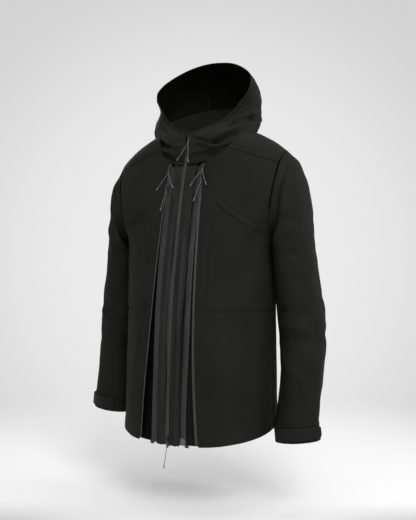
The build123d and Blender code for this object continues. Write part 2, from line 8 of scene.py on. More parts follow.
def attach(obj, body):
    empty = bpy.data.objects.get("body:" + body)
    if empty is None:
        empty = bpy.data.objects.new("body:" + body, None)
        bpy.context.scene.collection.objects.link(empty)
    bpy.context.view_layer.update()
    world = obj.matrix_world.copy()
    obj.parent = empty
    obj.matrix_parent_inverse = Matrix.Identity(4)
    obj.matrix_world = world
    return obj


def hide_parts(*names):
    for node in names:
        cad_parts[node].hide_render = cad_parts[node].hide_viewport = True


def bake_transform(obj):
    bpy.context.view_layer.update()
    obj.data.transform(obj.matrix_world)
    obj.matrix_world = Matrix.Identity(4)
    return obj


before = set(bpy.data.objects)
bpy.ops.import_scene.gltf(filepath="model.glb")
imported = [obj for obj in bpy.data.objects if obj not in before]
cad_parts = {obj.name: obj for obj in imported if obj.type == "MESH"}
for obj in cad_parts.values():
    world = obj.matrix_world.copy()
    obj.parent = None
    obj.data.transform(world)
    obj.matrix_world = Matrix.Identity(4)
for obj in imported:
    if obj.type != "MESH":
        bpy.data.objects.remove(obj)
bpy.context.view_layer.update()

# A hardshell jacket. The cloth is drawn as grids of points over smooth surfaces (torso, hood, sleeves and the
# arc that the three zips lie on), given folds and seams, and turned into thin closed bodies.

K = 0.001  # the shapes below are in millimetres


def add_object(name, data):
    made = bpy.data.objects.new(name, data)
    bpy.context.collection.objects.link(made)
    return made


def node(tree, kind, feeds=(), values=(), **settings):
    """A shader node with its settings, its sockets' values and the outputs that feed its inputs."""
    made = tree.nodes.new("ShaderNode" + kind)
    for key, value in settings.items():
        setattr(made, key, value)
    for socket, value in dict(values).items():
        made.inputs[socket].default_value = value
    for socket, source in dict(feeds).items():
        tree.links.new(source, made.inputs[socket])
    return made


# ---------------- camera, light, floor
TURN = math.radians(29)  # the camera looks level, from the jacket's left
AHEAD, ASIDE = (-0.4848, 0.8746, 0.0), (0.8746, 0.4848, 0.0)
cam_data = bpy.data.cameras.new("camera")
cam = add_object("camera", cam_data)
cam.location = (0.9696, -1.7102, -0.313)
cam.rotation_euler = (math.radians(90), 0, TURN)
cam_data.sensor_fit = "VERTICAL"
cam_data.sensor_height = 36
cam_data.lens = 740 / 520 * 36
cam_data.clip_end = 60
bpy.context.scene.camera = cam
bpy.context.scene.view_settings.view_transform = "Standard"
bpy.context.scene.view_settings.look = "None"

for name, place, aim, size, power in (
        ("key", (2.3, -2.1, 1.85), (0, 0, -0.25), 1.8, 96), ("fill", (-2.2, -2.4, 0.6), (0, 0, -0.35), 1.8, 1.5),
        ("top", (0.3, 0.2, 2.6), (0, 0, 0), 1.8, 14), ("rim_left", (-1.8, 1.6, 0.8), (0, 0, -0.2), 1.0, 9),
        ("rim_right", (2.2, 1.4, 0.6), (0, 0, -0.3), 1.0, 12)):
    data = bpy.data.lights.new(name, "AREA")
    data.energy, data.size = power, size
    light = add_object(name, data)
    light.location = place
    light.rotation_euler = (Vector(aim) - Vector(place)).to_track_quat("-Z", "Y").to_euler()

# a backdrop that is palest straight ahead of the camera
world = bpy.data.worlds.new("studio")
bpy.context.scene.world = world
world.use_nodes = True
tree = world.node_tree
ray = node(tree, "VectorMath", {0: node(tree, "TexCoord").outputs["Generated"]}, operation="NORMALIZE")
dot = node(tree, "VectorMath", {0: ray.outputs["Vector"]}, {1: AHEAD}, operation="DOT_PRODUCT")
spot = node(tree, "MapRange", {"Value": dot.outputs["Value"]},
            {"From Min": 0.92, "From Max": 1.0, "To Min": 0.655, "To Max": 0.84}, interpolation_type="SMOOTHSTEP")
tree.links.new(spot.outputs["Result"], tree.nodes["Background"].inputs["Color"])
tree.nodes["Background"].inputs["Strength"].default_value = 1.0

# the floor: a paper disc that fades out at its rim; its grey is darkened a little towards the two near corners as
# painted shade
FLOOR_Z, FLOOR_R, RINGS, SECTORS = -0.94, 2.0, 24, 72
verts, faces = [(0, 0, FLOOR_Z)], [(0, 1 + k, 1 + (k + 1) % SECTORS) for k in range(SECTORS)]
for ring in range(1, RINGS + 1):
    for k in range(SECTORS):
        a, r = 2 * math.pi * k / SECTORS, FLOOR_R * ring / RINGS
        verts.append((r * math.cos(a), r * math.sin(a), FLOOR_Z))
        if ring < RINGS:
            first = 1 + (ring - 1) * SECTORS
            a, b = first + k, first + (k + 1) % SECTORS
            faces.append((a, a + SECTORS, b + SECTORS, b))
data = bpy.data.meshes.new("floor")
data.from_pydata(verts, [], faces)
floor = add_object("floor", data)
mat = bpy.data.materials.new("floor_paper")
mat.use_nodes = True
tree = mat.node_tree
bsdf = tree.nodes["Principled BSDF"]
bsdf.inputs["Roughness"].default_value = 0.9
where = node(tree, "TexCoord").outputs["Object"]
far = node(tree, "VectorMath", {0: where}, operation="LENGTH")
fade = node(tree, "MapRange", {"Value": far.outputs["Value"]}, {"From Min": 1.0, "From Max": 1.9},
            interpolation_type="SMOOTHSTEP")
mix = node(tree, "MixShader", {"Fac": fade.outputs["Result"], 1: bsdf.outputs["BSDF"],
                               2: node(tree, "BsdfTransparent").outputs["BSDF"]})
tree.links.new(mix.outputs["Shader"], tree.nodes["Material Output"].inputs["Surface"])
near, wide = (node(tree, "VectorMath", {0: where}, {1: axis}, operation="DOT_PRODUCT").outputs["Value"]
              for axis in ((0.4848, -0.8746, 0.0), ASIDE))
wide = node(tree, "Math", {0: wide}, operation="ABSOLUTE").outputs[0]
near, wide = (node(tree, "MapRange", {"Value": value}, {"From Min": low, "From Max": high},
                   interpolation_type="SMOOTHSTEP").outputs["Result"]
              for value, low, high in ((near, 0.02, 0.30), (wide, 0.12, 0.56)))
both = node(tree, "Math", {0: near, 1: wide}, operation="MULTIPLY")
# painted shade: the paper's grey falls from 0.84 to as low as 0.34 towards the two near corners
paper_grey_with_painted_shade = node(tree, "MapRange", {"Value": both.outputs[0]}, {"To Min": 0.84, "To Max": 0.34})
tree.links.new(paper_grey_with_painted_shade.outputs["Result"], bsdf.inputs["Base Color"])
data.materials.append(mat)


# ---------------- materials
def material(name, color, rough, spec, metal=0.0, sheen=0.0, coat=0.0, weave=0.0, pitch=0.6, twill=False,
             ribs=0.0, rib_pitch=2.0, grain=0.0, grain_scale=900.0, tone_and_painted_sheen=0.2, mottle_scale=200, streak=1.0,
             span=0.08):
    """Cloth, tape, plastic or metal: a woven or grained bump, cloudy colour and roughness, and sheen. On the zip
    tape the cloudy colour, stretched into streaks, is painted sheen.
    """
    m = bpy.data.materials.new(name)
    m.use_nodes = True
    tree = m.node_tree
    bsdf = tree.nodes["Principled BSDF"]
    for socket, value in {"Metallic": metal, "Specular IOR Level": spec, "Sheen Weight": sheen,
                          "Sheen Roughness": 0.5, "Sheen Tint": (0.9, 0.9, 0.95, 1), "Coat Weight": coat}.items():
        bsdf.inputs[socket].default_value = value
    where = node(tree, "TexCoord").outputs["Object"]
    along = node(tree, "Mapping", {"Vector": where}, {"Scale": (1, 1, streak)})
    clouds = node(tree, "TexNoise", {"Vector": along.outputs["Vector"]}, {"Scale": mottle_scale, "Detail": 4})
    # the colour clouds: tone that differs at random, and on the zip tape painted sheen streaks
    ramp = node(tree, "ValToRGB", {"Fac": clouds.outputs["Fac"]})
    for end, at, share in zip(ramp.color_ramp.elements, (0.3, 0.7), (1 - tone_and_painted_sheen, 1 + tone_and_painted_sheen)):
        end.position, end.color = at, (*(c * share for c in color), 1)
    gloss = node(tree, "MapRange", {"Value": clouds.outputs["Fac"]},
                 {"To Min": rough - span, "To Max": min(1.0, rough + span)})

    def wave(turn, step):
        turned = node(tree, "Mapping", {"Vector": where}, {"Rotation": turn})
        return node(tree, "TexWave", {"Vector": turned.outputs["Vector"]},
                    {"Scale": 50 * math.pi / step, "Distortion": 0.4, "Detail": 1},
                    bands_direction="X").outputs["Fac"]

    heights = []
    if weave:
        tilt = math.radians(40) if twill else 0.0
        heights += [(wave((0, math.radians(90) + tilt, 0), pitch), weave),
                    (wave((0, tilt, math.radians(35)), pitch), weave)]
    if ribs:
        heights.append((wave((0, math.radians(90), 0), rib_pitch), ribs))
    if grain:
        specks = node(tree, "TexNoise", {"Vector": where}, {"Scale": grain_scale, "Detail": 3})
        heights.append((specks.outputs["Fac"], grain))
    total = None
    for value, amount in heights:
        scaled = node(tree, "Math", {0: value}, {1: amount}, operation="MULTIPLY").outputs[0]
        total = node(tree, "Math", {0: total, 1: scaled}, operation="ADD").outputs[0] if total else scaled
    bump = node(tree, "Bump", {"Height": total}, {"Strength": 0.6, "Distance": 0.001})
    for socket, output in (("Base Color", ramp.outputs["Color"]), ("Roughness", gloss.outputs["Result"]),
                           ("Normal", bump.outputs["Normal"])):
        tree.links.new(output, bsdf.inputs[socket])
    return m


M = {
    "shell": material("shell_cloth", (0.0102, 0.0102, 0.0090), 0.70, 0.08, weave=0.10, pitch=0.8, twill=True,
                      grain=0.16, tone_and_painted_sheen=0.16, mottle_scale=9),
    "insert": material("insert_cloth", (0.0090, 0.0090, 0.0083), 0.58, 0.18, weave=0.10, pitch=0.7,
                       grain=0.12, tone_and_painted_sheen=0.5, mottle_scale=80, streak=0.08, span=0.16),
    # lining: the inside's own near-black; on the outside of the right side flap it stands as painted shade
    "lining": material("lining_cloth", (0.0026, 0.0027, 0.0021), 0.85, 0.05, weave=0.12, pitch=1.4,
                       grain=0.2, tone_and_painted_sheen=0.3, mottle_scale=25),
    "facing": material("facing_cloth", (0.0075, 0.0075, 0.0066), 0.75, 0.08, weave=0.10, pitch=1.1,
                       grain=0.16, mottle_scale=20),
    # zip tape: its strong lengthwise colour streaks are painted sheen, highlights broken up along the tape
    "tape": material("zip_tape_cloth", (0.0088, 0.0088, 0.0092), 0.46, 0.46, sheen=0.03, weave=0.10, pitch=0.9,
                     grain=0.06, tone_and_painted_sheen=0.85, mottle_scale=95, streak=0.10, span=0.26),
    "web": material("loop_webbing", (0.03, 0.03, 0.03), 0.7, 0.3, sheen=0.2, weave=0.4, pitch=1.0),
    "cord": material("pull_braid", (0.075, 0.075, 0.078), 0.6, 0.4, sheen=0.3, ribs=0.5, rib_pitch=0.9,
                     tone_and_painted_sheen=0.25, mottle_scale=500),
    "pile": material("loop_pile", (0.012, 0.012, 0.012), 0.95, 0.1, sheen=0.3, grain=1.4, grain_scale=1500,
                     tone_and_painted_sheen=0.4, mottle_scale=300),
    "coil": material("zip_coil", (0.032, 0.032, 0.033), 0.34, 0.55, grain=0.05),
    "slider": material("slider_paint", (0.022, 0.022, 0.023), 0.30, 0.6, metal=0.55, coat=0.3, grain=0.03,
                       tone_and_painted_sheen=0.25, mottle_scale=300),
    "tab": material("pull_paint", (0.05, 0.05, 0.052), 0.32, 0.6, metal=0.6, coat=0.2, grain=0.03,
                    tone_and_painted_sheen=0.25, mottle_scale=300),
    "tip": material("tip_plastic", (0.11, 0.11, 0.112), 0.40, 0.5, grain=0.05, mottle_scale=400),
    "cuff_tab": material("tab_plastic", (0.0080, 0.0080, 0.0074), 0.58, 0.12, grain=0.14, mottle_scale=60),
    "plastic": material("box_plastic", (0.02, 0.02, 0.02), 0.4, 0.5, grain=0.06),
    "patch": material("end_film", (0.085, 0.085, 0.088), 0.42, 0.5, grain=0.05, tone_and_painted_sheen=0.15, mottle_scale=90),
}

# ---------------- the zips' arc
CHIN, HEM, BOW = (-57.0, 17.0), (-166.0, -768.0), 30.0  # y and z of the arc's ends, and its rise
CHORD = math.hypot(HEM[0] - CHIN[0], HEM[1] - CHIN[1])
R = (CHORD ** 2 / 4 + BOW ** 2) / (2 * BOW)
AY = (CHIN[0] + HEM[0]) / 2 + (CHIN[1] - HEM[1]) / CHORD * (R - BOW)
AZ = (CHIN[1] + HEM[1]) / 2 + (HEM[0] - CHIN[0]) / CHORD * (R - BOW)
HEM_Z = HEM[1]
HALF, SAG, TAPE_N = 50.0, 5.0, -3.2  # insert's half width, how far its sides lie back, tape under the arc


def front_y(z):
    return AY - np.sqrt(R ** 2 - (z - AZ) ** 2)


def on_arc(p, z, x=0.0, inset=0.0):
    """Zip coordinates (x, -outward, up) about height z on a zip, to the row's frame."""
    p = np.atleast_2d(np.asarray(p, float))
    t = math.asin((z - AZ) / (R - inset))
    y, w = p[:, 1] - (R - inset), p[:, 2]
    c, s = math.cos(t), math.sin(t)
    return np.stack([p[:, 0] + x, AY + y * c + w * s, AZ - y * s + w * c], 1)


def arc_point(x, n, z, inset=0.0):
    """Point n outward of the arc at height z, and x from the middle."""
    t = np.arcsin(np.clip((z - AZ) / (R - inset), -1, 1))
    r = R - inset + n
    return np.stack(np.broadcast_arrays(x, AY - r * np.cos(t), AZ + r * np.sin(t)), -1)


# ---------------- cords
CORD, CORD_N, KNOT = 1.6, 5.2, 1.2  # diameter, distance in front of the tape, half the gap at the pull


def leg(side, spread, length, lift=0.0, start=22.0):
    """Four points of a cord that hangs from a pull, swinging out to one side."""
    rows = ((0, 0, 0.4, 0), (0.34, 0.6 + lift, 0, 0.30), (0.60, 1.0 + lift, 0, 0.64), (1, 0.7 + lift, 0, 1))
    return [(side * (KNOT + spread * out), -CORD_N - up, -start - drop - length * down)
            for out, up, drop, down in rows]


PULLS = {  # x, inset and height on the arc, and the cords
    "centre_top": (0, 0, 5, [leg(-1, 20, 36), leg(1, 7, 41)]),
    "left_top": (50, 5, -74, [leg(-1, 21, 34, 4.0, 15.0), leg(1, 14, 31, 1.0, 15.0)]),
    "right_top": (-50, 5, -74, [leg(-1, 23, 36, 0.6, 18.0), leg(1, 18, 33, 4.0, 18.0)]),
    "left_lower": (50, 5, -101, [leg(-1, 9, 37, 2.2)]),
    "right_lower": (-50, 5, -126, [leg(-1, 6, 33, 1.0)]),
    "centre_bottom": (0, 0, -752, [leg(-1, 7, 44)]),
}


def nurbs(name, points, resolution):
    c = bpy.data.curves.new(name, "CURVE")
    c.dimensions, c.resolution_u = "3D", resolution
    s = c.splines.new("NURBS")
    s.points.add(len(points) - 1)
    for p, co in zip(s.points, points):
        p.co = (*co, 1)
    s.order_u, s.use_endpoint_u = 3, True
    return c


def curve_length(points):
    """Length of the cord's own smooth line."""
    c = nurbs("measure", points, 24)
    o = add_object("measure", c)
    bpy.context.view_layer.update()
    me = bpy.data.meshes.new_from_object(o)
    co = np.array([v.co for v in me.vertices])
    bpy.data.objects.remove(o)
    bpy.data.curves.remove(c)
    bpy.data.meshes.remove(me)
    return float(np.linalg.norm(np.diff(co, axis=0), axis=1).sum())


for name, (x, inset, z, legs) in PULLS.items():
    for letter, route in zip("ab", legs):
        ending = f"_{letter}" if len(legs) > 1 else ""
        pts = on_arc(np.array(route) + [0, -TAPE_N, 0], z, x, inset) * K
        c = nurbs(f"{name}_braid{ending}", pts, 16)
        c.bevel_depth, c.bevel_resolution, c.use_fill_caps = CORD / 2 * K, 4, True
        c.materials.append(M["cord"])
        o = add_object(c.name, c)
        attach(o, f"{name}_pull")
        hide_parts(f"{name}_cord{ending}")
        curve_length(pts)

# ---------------- torso surface
TORSO = np.array([  # height, half width, depth to the back, y of the middle
    (-780, 210, 114, 6), (-600, 207, 114, 6), (-420, 206, 114, 6), (-310, 209, 115, 8), (-255, 215, 116, 9),
    (-210, 238, 116, 10), (-150, 258, 116, 12), (-80, 258, 106, 18), (-44, 243, 95, 21), (-24, 221, 89, 23),
    (-3, 190, 84, 25), (17, 150, 78, 28), (30, 112, 74, 30), (34, 88, 64, 31), (36, 60, 50, 32)], float)
SQUARE = 2.3  # the sections' power: 2 is an ellipse


def hermite(t, rows, values):
    """Smooth interpolation of columns of values over rows."""
    t = np.asarray(t, float)
    k = np.clip(np.searchsorted(rows, t, side="right") - 1, 0, len(rows) - 2)
    n = np.arange(len(rows))
    lo, hi = np.maximum(n - 1, 0), np.minimum(n + 1, len(rows) - 1)
    slope = (values[hi] - values[lo]) / (rows[hi] - rows[lo])[:, None]
    step = (rows[k + 1] - rows[k])[..., None]
    s = ((t - rows[k]) / (rows[k + 1] - rows[k]))[..., None]
    return ((2 * s ** 3 - 3 * s ** 2 + 1) * values[k] + (s ** 3 - 2 * s ** 2 + s) * step * slope[k]
            + (3 * s ** 2 - 2 * s ** 3) * values[k + 1] + (s ** 3 - s ** 2) * step * slope[k + 1])


def smooth(t):
    t = np.clip(t, 0, 1)
    return t * t * (3 - 2 * t)


def hump(d, width):
    return np.exp(-(d / width) ** 2)


def wave_of(a):
    """Cosine and sine of an angle in degrees."""
    a = np.radians(a)
    return np.cos(a), np.sin(a)


def torso_row(z):
    """Half width, depth to the back, y of the middle and depth to the front at heights z."""
    f = hermite(z, TORSO[:, 0], TORSO[:, 1:])
    return f[..., 0], f[..., 1], f[..., 2], f[..., 2] - front_y(z) - SAG + 2


def torso(z, a, grow=0.0):
    """Points of the torso at heights z and angles a in degrees (0 left, -90 front, 90 back)."""
    z, a = np.broadcast_arrays(z, a)
    half, back, mid, front = torso_row(z)
    c, s = wave_of(a)
    x = (half + grow) * np.sign(c) * np.abs(c) ** (2 / SQUARE)
    y = mid + (np.where(s < 0, front, back) + grow) * np.sign(s) * np.abs(s) ** (2 / SQUARE)
    return np.stack([x, y, z], -1)


def angle_at(x, z, sign=-1):
    return sign * np.degrees(np.arccos(np.clip(np.abs(x) / torso_row(z)[0], 0, 1) ** (SQUARE / 2)))


def armhole_x(z):
    return 212 + 28 * (z + 252) / 208


LOW_Z, TOP_Z = -257.0, -40.5  # the armhole's lowest and highest point


def arm_end(z, sign=-1):
    return np.where(z < LOW_Z, 0.0, angle_at(np.minimum(armhole_x(z), torso_row(z)[0]), z, sign))


# the neck seam: where the torso meets a slanting oval (its centre, its depth axis and its own axis)
N0, E, NN = np.array([0, 10.0, -21.0]), np.array([0, 0.914, 0.405]), np.array([0, -0.405, 0.914])
NECK_DEPTH, NECK_P = 100.0, 2.4  # half depth, and the oval's power


def neck_w(x):
    return np.where(x > 0, 134.0, 104.0)


def neck_inside(p):
    q = (p - N0) @ E
    return np.abs(p[..., 0] / neck_w(p[..., 0])) ** NECK_P + np.abs(q / NECK_DEPTH) ** NECK_P - 1


def neck_top(a, side=1):
    """Height at which the torso's column at angle a meets the neck seam."""
    lo, hi = np.where(np.sin(np.radians(a)) > 0.01, 10.0, -80.0), np.full(a.shape, 35.5)
    for _ in range(30):
        mid = (lo + hi) / 2
        inside = neck_inside(torso(mid, a) * [side, 1, 1]) < 0
        hi, lo = np.where(inside, mid, hi), np.where(inside, lo, mid)
    return (lo + hi) / 2


def neck_seam(phi):
    """The neck seam at a hood angle: 0 front, 90 left, 180 back."""
    c, s = wave_of(phi)
    q = -NECK_DEPTH * np.sign(c) * np.abs(c) ** (2 / NECK_P)
    x = neck_w(s) * np.sign(s) * np.abs(s) ** (2 / NECK_P)
    base = N0 + q[..., None] * E + x[..., None] * np.array([1.0, 0, 0])
    lo, hi = np.full(c.shape, -60.0), np.full(c.shape, 90.0)
    for _ in range(36):
        mid = (lo + hi) / 2
        p = base + mid[..., None] * NN
        half, back, y, front = torso_row(np.clip(p[..., 2], TORSO[0, 0], TORSO[-1, 0]))
        depth = np.where(p[..., 1] < y, front, back)
        out = (np.abs(p[..., 0]) / half) ** SQUARE + (np.abs(p[..., 1] - y) / depth) ** SQUARE - 1
        out = np.where(p[..., 2] > TORSO[-1, 0], 1.0, out)
        hi, lo = np.where(out > 0, mid, hi), np.where(out > 0, lo, mid)
    return base + ((lo + hi) / 2)[..., None] * NN


# ---------------- cloth relief
def fold(p, row, shift=0.0):
    """A soft ridge (or furrow) along a line, fading at its ends. The row has the line's two ends, the ridge's
    width and its height; shift moves the ends up and down."""
    a, b, (width, height) = np.array(row[:3], float), np.array(row[3:6], float), row[6:]
    a[2], b[2] = a[2] + shift, b[2] - shift
    d = b - a
    t = ((p - a) @ d) / (d @ d)
    near = a + np.clip(t, 0, 1)[..., None] * d
    taper = smooth((t + 0.15) / 0.4) * smooth((1.15 - t) / 0.4)
    return height * taper * hump(np.linalg.norm(p - near, axis=-1), width * (0.7 + 0.6 * np.clip(t, 0, 1)))


def both(*row):
    """A fold and its mirror image."""
    return row, (-row[0], *row[1:3], -row[3], *row[4:])


def ripples(p, size, seed, stretch=(1, 1, 1)):
    """Smooth noise from -1 to 1 over the points."""
    flat = (p * np.array(stretch)).reshape(-1, 3) / size + seed * 7.13
    return np.array([noise.noise(Vector(v)) for v in flat]).reshape(p.shape[:-1])


BODY_FOLDS = [
    # drag lines from the armholes, drapes down the fronts and the back
    (205, -70, -190, 120, -120, -330, 26, 3.2), (200, -60, -235, 150, -105, -420, 20, -2.4),
    (-205, -70, -190, -130, -120, -300, 24, 3.0), (-205, -60, -230, -160, -100, -400, 18, -2.4),
    (120, -150, -420, 150, -140, -740, 28, 3.4), (85, -160, -520, 100, -160, -760, 20, -2.6),
    (190, -80, -440, 185, -90, -740, 24, -2.8), (-120, -150, -420, -140, -145, -740, 26, 3.0),
    (-180, -90, -400, -190, -80, -730, 22, -3.0), (-90, -150, -300, -95, -160, -560, 16, 1.8),
    (160, 90, -200, 60, 120, -420, 30, 3.6), (-160, 90, -200, -60, 120, -430, 30, 3.4),
    (100, 110, -400, 130, 100, -740, 30, 4.0), (-100, 110, -420, -130, 100, -740, 32, 4.0),
    (20, 118, -300, 0, 120, -740, 34, -3.4), (60, 118, -480, 50, 118, -740, 22, 2.6),
    (-50, 118, -500, -60, 118, -750, 20, -2.2), (195, 50, -260, 120, 100, -330, 16, -3.2),
    (-195, 50, -260, -120, 100, -340, 16, -3.2), *both(210, 0, -300, 205, 20, -700, 24, 2.2),
    *both(120, 100, -60, 190, 60, -120, 22, 1.8), *both(110, -60, -20, 200, -40, -40, 24, 1.6),
]


def body_relief(p):
    h = 2.4 * ripples(p, 90, 1, (1, 1, 0.55)) + 1.3 * ripples(p, 38, 2, (1, 1, 0.6))
    for row in BODY_FOLDS:
        h = h + 1.4 * fold(p, row)
    return h * (0.35 + 0.65 * smooth(p[..., 2] / -60))  # calmer on the shoulders


# ---------------- meshes
def grid(us, vs):
    return np.meshgrid(us, vs, indexing="ij")


def runs(p):
    """Distances along a grid's lines from its first row, in both directions."""
    du, dv = (np.cumsum(np.linalg.norm(np.diff(p, axis=k), axis=-1), k) for k in (0, 1))
    return np.vstack([np.zeros(p.shape[1]), du]), np.hstack([np.zeros((p.shape[0], 1)), dv])


def normals(P, closed=False):
    du = np.roll(P, -1, 0) - np.roll(P, 1, 0) if closed else np.gradient(P, axis=0)
    n = np.cross(du, np.gradient(P, axis=1))
    return n / np.maximum(np.linalg.norm(n, axis=-1, keepdims=True), 1e-9)


def spaced(length, step, fine=(0.0, 0.9, 2.0, 3.2, 4.6, 6.5), extra=()):
    """Rows from 0 to 1 along a length in mm, closer together at both ends and about each extra place."""
    d = list(np.linspace(0, length, max(3, int(length / step)))) + list(fine) + [length - f for f in fine]
    for e in extra:
        d += [e - 2.6, e - 1.3, e, e + 1.3, e + 2.6]
    d = np.array(sorted(x for x in d if 0 <= x <= length))
    keep = [0]
    for i in range(1, len(d)):
        if d[i] - d[keep[-1]] > 0.6:
            keep.append(i)
    d = d[keep]
    d[-1] = length
    return d / length


def seam(d, depth=1.7, lip=0.8):
    """Relief beside a sewn edge at distance d: the groove and the taped roll next to it."""
    return -depth * hump(d, 1.6) + lip * hump(d - 4.4, 2.5)


def stitch(d, at, depth=0.6):
    return -depth * hump(d - at, 1.1)


def mesh_object(name, points, faces, *looks):
    me = bpy.data.meshes.new(name)
    me.from_pydata((np.asarray(points) * K).tolist(), [], faces)
    for look in looks:
        me.materials.append(M[look])
    return add_object(name, me)


def shell_mesh(name, P, thick, *looks, closed=False, flip=False):
    """A closed thin cloth body from a grid of outer points, its cut edges rolled round; looks are the
    materials of its outer and, where given, its inner face."""
    nu, nv = P.shape[:2]
    Q = P - normals(P, closed) * (-1 if flip else 1) * thick
    pts = [np.concatenate([P.reshape(-1, 3), Q.reshape(-1, 3)])]
    I = np.arange(nu * nv).reshape(nu, nv)
    J = I + nu * nv
    quads, tags = [], []
    for u in range(nu if closed else nu - 1):
        w = (u + 1) % nu
        for v in range(nv - 1):
            quads += [(I[u, v], I[w, v], I[w, v + 1], I[u, v + 1]), (J[u, v], J[u, v + 1], J[w, v + 1], J[w, v])]
            tags += [0, 1]

    def rim(outer, inner, away):
        away = away / np.maximum(np.linalg.norm(away, axis=-1, keepdims=True), 1e-9)
        ids = np.arange(len(outer)) + sum(len(part) for part in pts)
        pts.append((pts[0][outer] + pts[0][inner]) / 2 + away * thick * 0.5)
        for a, b in ((outer, ids), (ids, inner)):
            quads.extend(zip(a[:-1], a[1:], b[1:], b[:-1]))

    def wrap(a):
        return np.concatenate([a, a[:1]]) if closed else a
    rim(wrap(I[:, 0])[::-1], wrap(J[:, 0])[::-1], wrap(P[:, 0] - P[:, 1])[::-1])
    rim(wrap(I[:, -1]), wrap(J[:, -1]), wrap(P[:, -1] - P[:, -2]))
    if not closed:
        rim(I[0], J[0], P[0] - P[1])
        rim(I[-1][::-1], J[-1][::-1], (P[-1] - P[-2])[::-1])
    faces = np.array(quads)[:, ::-1 if flip else 1].tolist()
    o = mesh_object(name, np.concatenate(pts), faces, *looks)
    o.data.polygons.foreach_set("use_smooth", [True] * len(quads))
    if len(looks) > 1:
        o.data.polygons.foreach_set("material_index", tags + [0] * (len(quads) - len(tags)))
    bm = bmesh.new()
    bm.from_mesh(o.data)
    bmesh.ops.remove_doubles(bm, verts=bm.verts, dist=1e-6)
    bmesh.ops.recalc_face_normals(bm, faces=bm.faces)
    bm.to_mesh(o.data)
    bm.free()
    o.data.update()
    return o


def shell_cloth(name, P, thick, **settings):
    return shell_mesh(f"{name}_cloth", P, thick, "shell", "lining", **settings)


def put(o, body, slot, *nodes):
    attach(o, body)
    if nodes:
        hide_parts(*nodes)


def mirrored(P, side):
    """The points for the left side, or their mirror image for the right."""
    return P * [-1.0, 1, 1] if side < 0 else P


# ---------------- torso panels
# height and x of the front panels' free edges
LEFT_EDGE = np.array([(-780, 83), (-650, 74), (-480, 65), (-300, 60), (-125, 56), (0, 56)], float)
RIGHT_EDGE = np.array([(-780, 90), (-650, 80), (-500, 70), (-330, 62), (-160, 56), (0, 56)], float)


def edge_x(edge, z):
    return hermite(z, edge[:, 0], edge[:, 1:])[..., 0]


def yoke_z(x):
    return -17 - 0.335 * (np.abs(x) - 72)


def tilt_z(z0, y):
    """Height of a level that follows the slanting hem at the bottom."""
    fall = 0.185 * (1 - smooth((z0 + 768) / 280))
    return z0 + fall * (y + 166)


def front_grid(edge, side):
    U, V = grid(spaced(210, 4.0), spaced(740, 4.5, extra=(24, 27)))
    z = HEM_Z + V * 720
    for _ in range(9):
        a0, a1 = angle_at(edge_x(edge, z), z), arm_end(z)
        a = a0 + U * (a1 - a0)
        p = torso(z, a)
        top = np.minimum(yoke_z(p[..., 0]), neck_top(a[:, -1], side)[:, None])
        z0 = HEM_Z + V * (top - HEM_Z)
        z = np.where(V < 1, tilt_z(z0, p[..., 1]), z0)
    p = torso(z, a)
    p[..., 0] *= side
    h = body_relief(p)
    de, dh = runs(p)  # from the free edge, the side, the hem and the top
    ds, dt = de[-1] - de, dh[:, -1:] - dh
    h = h * smooth(ds / 30) * smooth(dt / 30) * (0.25 + 0.75 * smooth(de / 40))
    h += seam(ds) + seam(dt, 1.0, 0.7) + stitch(dt, 6) + stitch(dh, 26, 0.7) + 0.5 * smooth((27 - dh) / 3)
    h += stitch(de, 7, 0.5) - 0.5 * smooth((6 - de) / 4)
    # the hem swings out and the free edge curls forward towards the bottom
    low = smooth((-430 - p[..., 2]) / 340)
    h += low * (5.0 * np.exp(-de / 38) + 2.5 * np.sin(de / 24) * np.exp(-de / 90))
    # chest welt: a slanting covered zip
    start, end = np.array([95, -166]), np.array([200, -242])
    d = (end - start) / np.linalg.norm(end - start)
    q = np.stack([np.abs(p[..., 0]), p[..., 2]], -1) - start
    along, across = q @ d, q[..., 0] * -d[1] + q[..., 1] * d[0]
    on = smooth(along / 6) * smooth((132 - along) / 6)
    h += on * (-2.6 * hump(across - 7.0, 1.9) - 2.2 * hump(across + 6.0, 1.9) + 2.6 * np.exp(-(across / 5) ** 4))
    # pocket: a patch with its seams
    x, z = np.abs(p[..., 0]), p[..., 2]
    lx = 90 + (z + 250) * 0.02
    h += 1.4 * smooth((x - lx) / 3) * smooth((z + 439) / 3) * smooth((-225 - z) / 10)
    h += -2.8 * hump(x - lx + 1.5, 2.3) * smooth((z + 445) / 4) * smooth((-215 - z) / 20)
    h += -2.6 * hump(z + 441, 2.3) * smooth((x - lx + 3) / 3)
    return p + normals(p) * (h * side)[..., None]


for side, name, edge in ((1, "left", LEFT_EDGE), (-1, "right", RIGHT_EDGE)):
    put(shell_cloth(f"front_{name}", front_grid(edge, side), 1.5, flip=side < 0), "shell", "shell_fabric",
        f"front_panel_{name}", f"pocket_{name}", *(["chest_welts", "front_hem"] if side > 0 else []))


def back_grid(z_low, z_high, hem):
    U, V = grid(spaced(420, 4.5), spaced(z_high - z_low, 4.5, extra=(26,) if hem else ()))
    z = z_low + V * (z_high - z_low)
    for _ in range(4):
        a1 = arm_end(z, 1)
        a = a1 + U * (180 - 2 * a1)
        if hem:
            base = -736.0 - 0.15 * (torso(z, a)[..., 1] - 6)
            z = base + V * (z_high - base)
    p = torso(z, a)
    h = body_relief(p)
    du, dv = runs(p)
    ds, top = du[-1] - du, dv[:, -1:] - dv
    h = h * smooth(du / 30) * smooth(ds / 30) + seam(du) + seam(ds)
    if hem:
        h += stitch(dv, 26, 0.7) + 0.5 * smooth((27 - dv) / 3)
        h *= 0.4 + 0.6 * smooth(top / 30)
        h += seam(top) + stitch(top, 6)
    else:  # the yoke's top lies tucked under the hood's seam
        h = h * smooth(dv / 30) * smooth((top - 4) / 26) - 1.3 * smooth((6 - top) / 4)
        h += seam(dv) + stitch(dv, 6)
    return p + normals(p) * h[..., None]


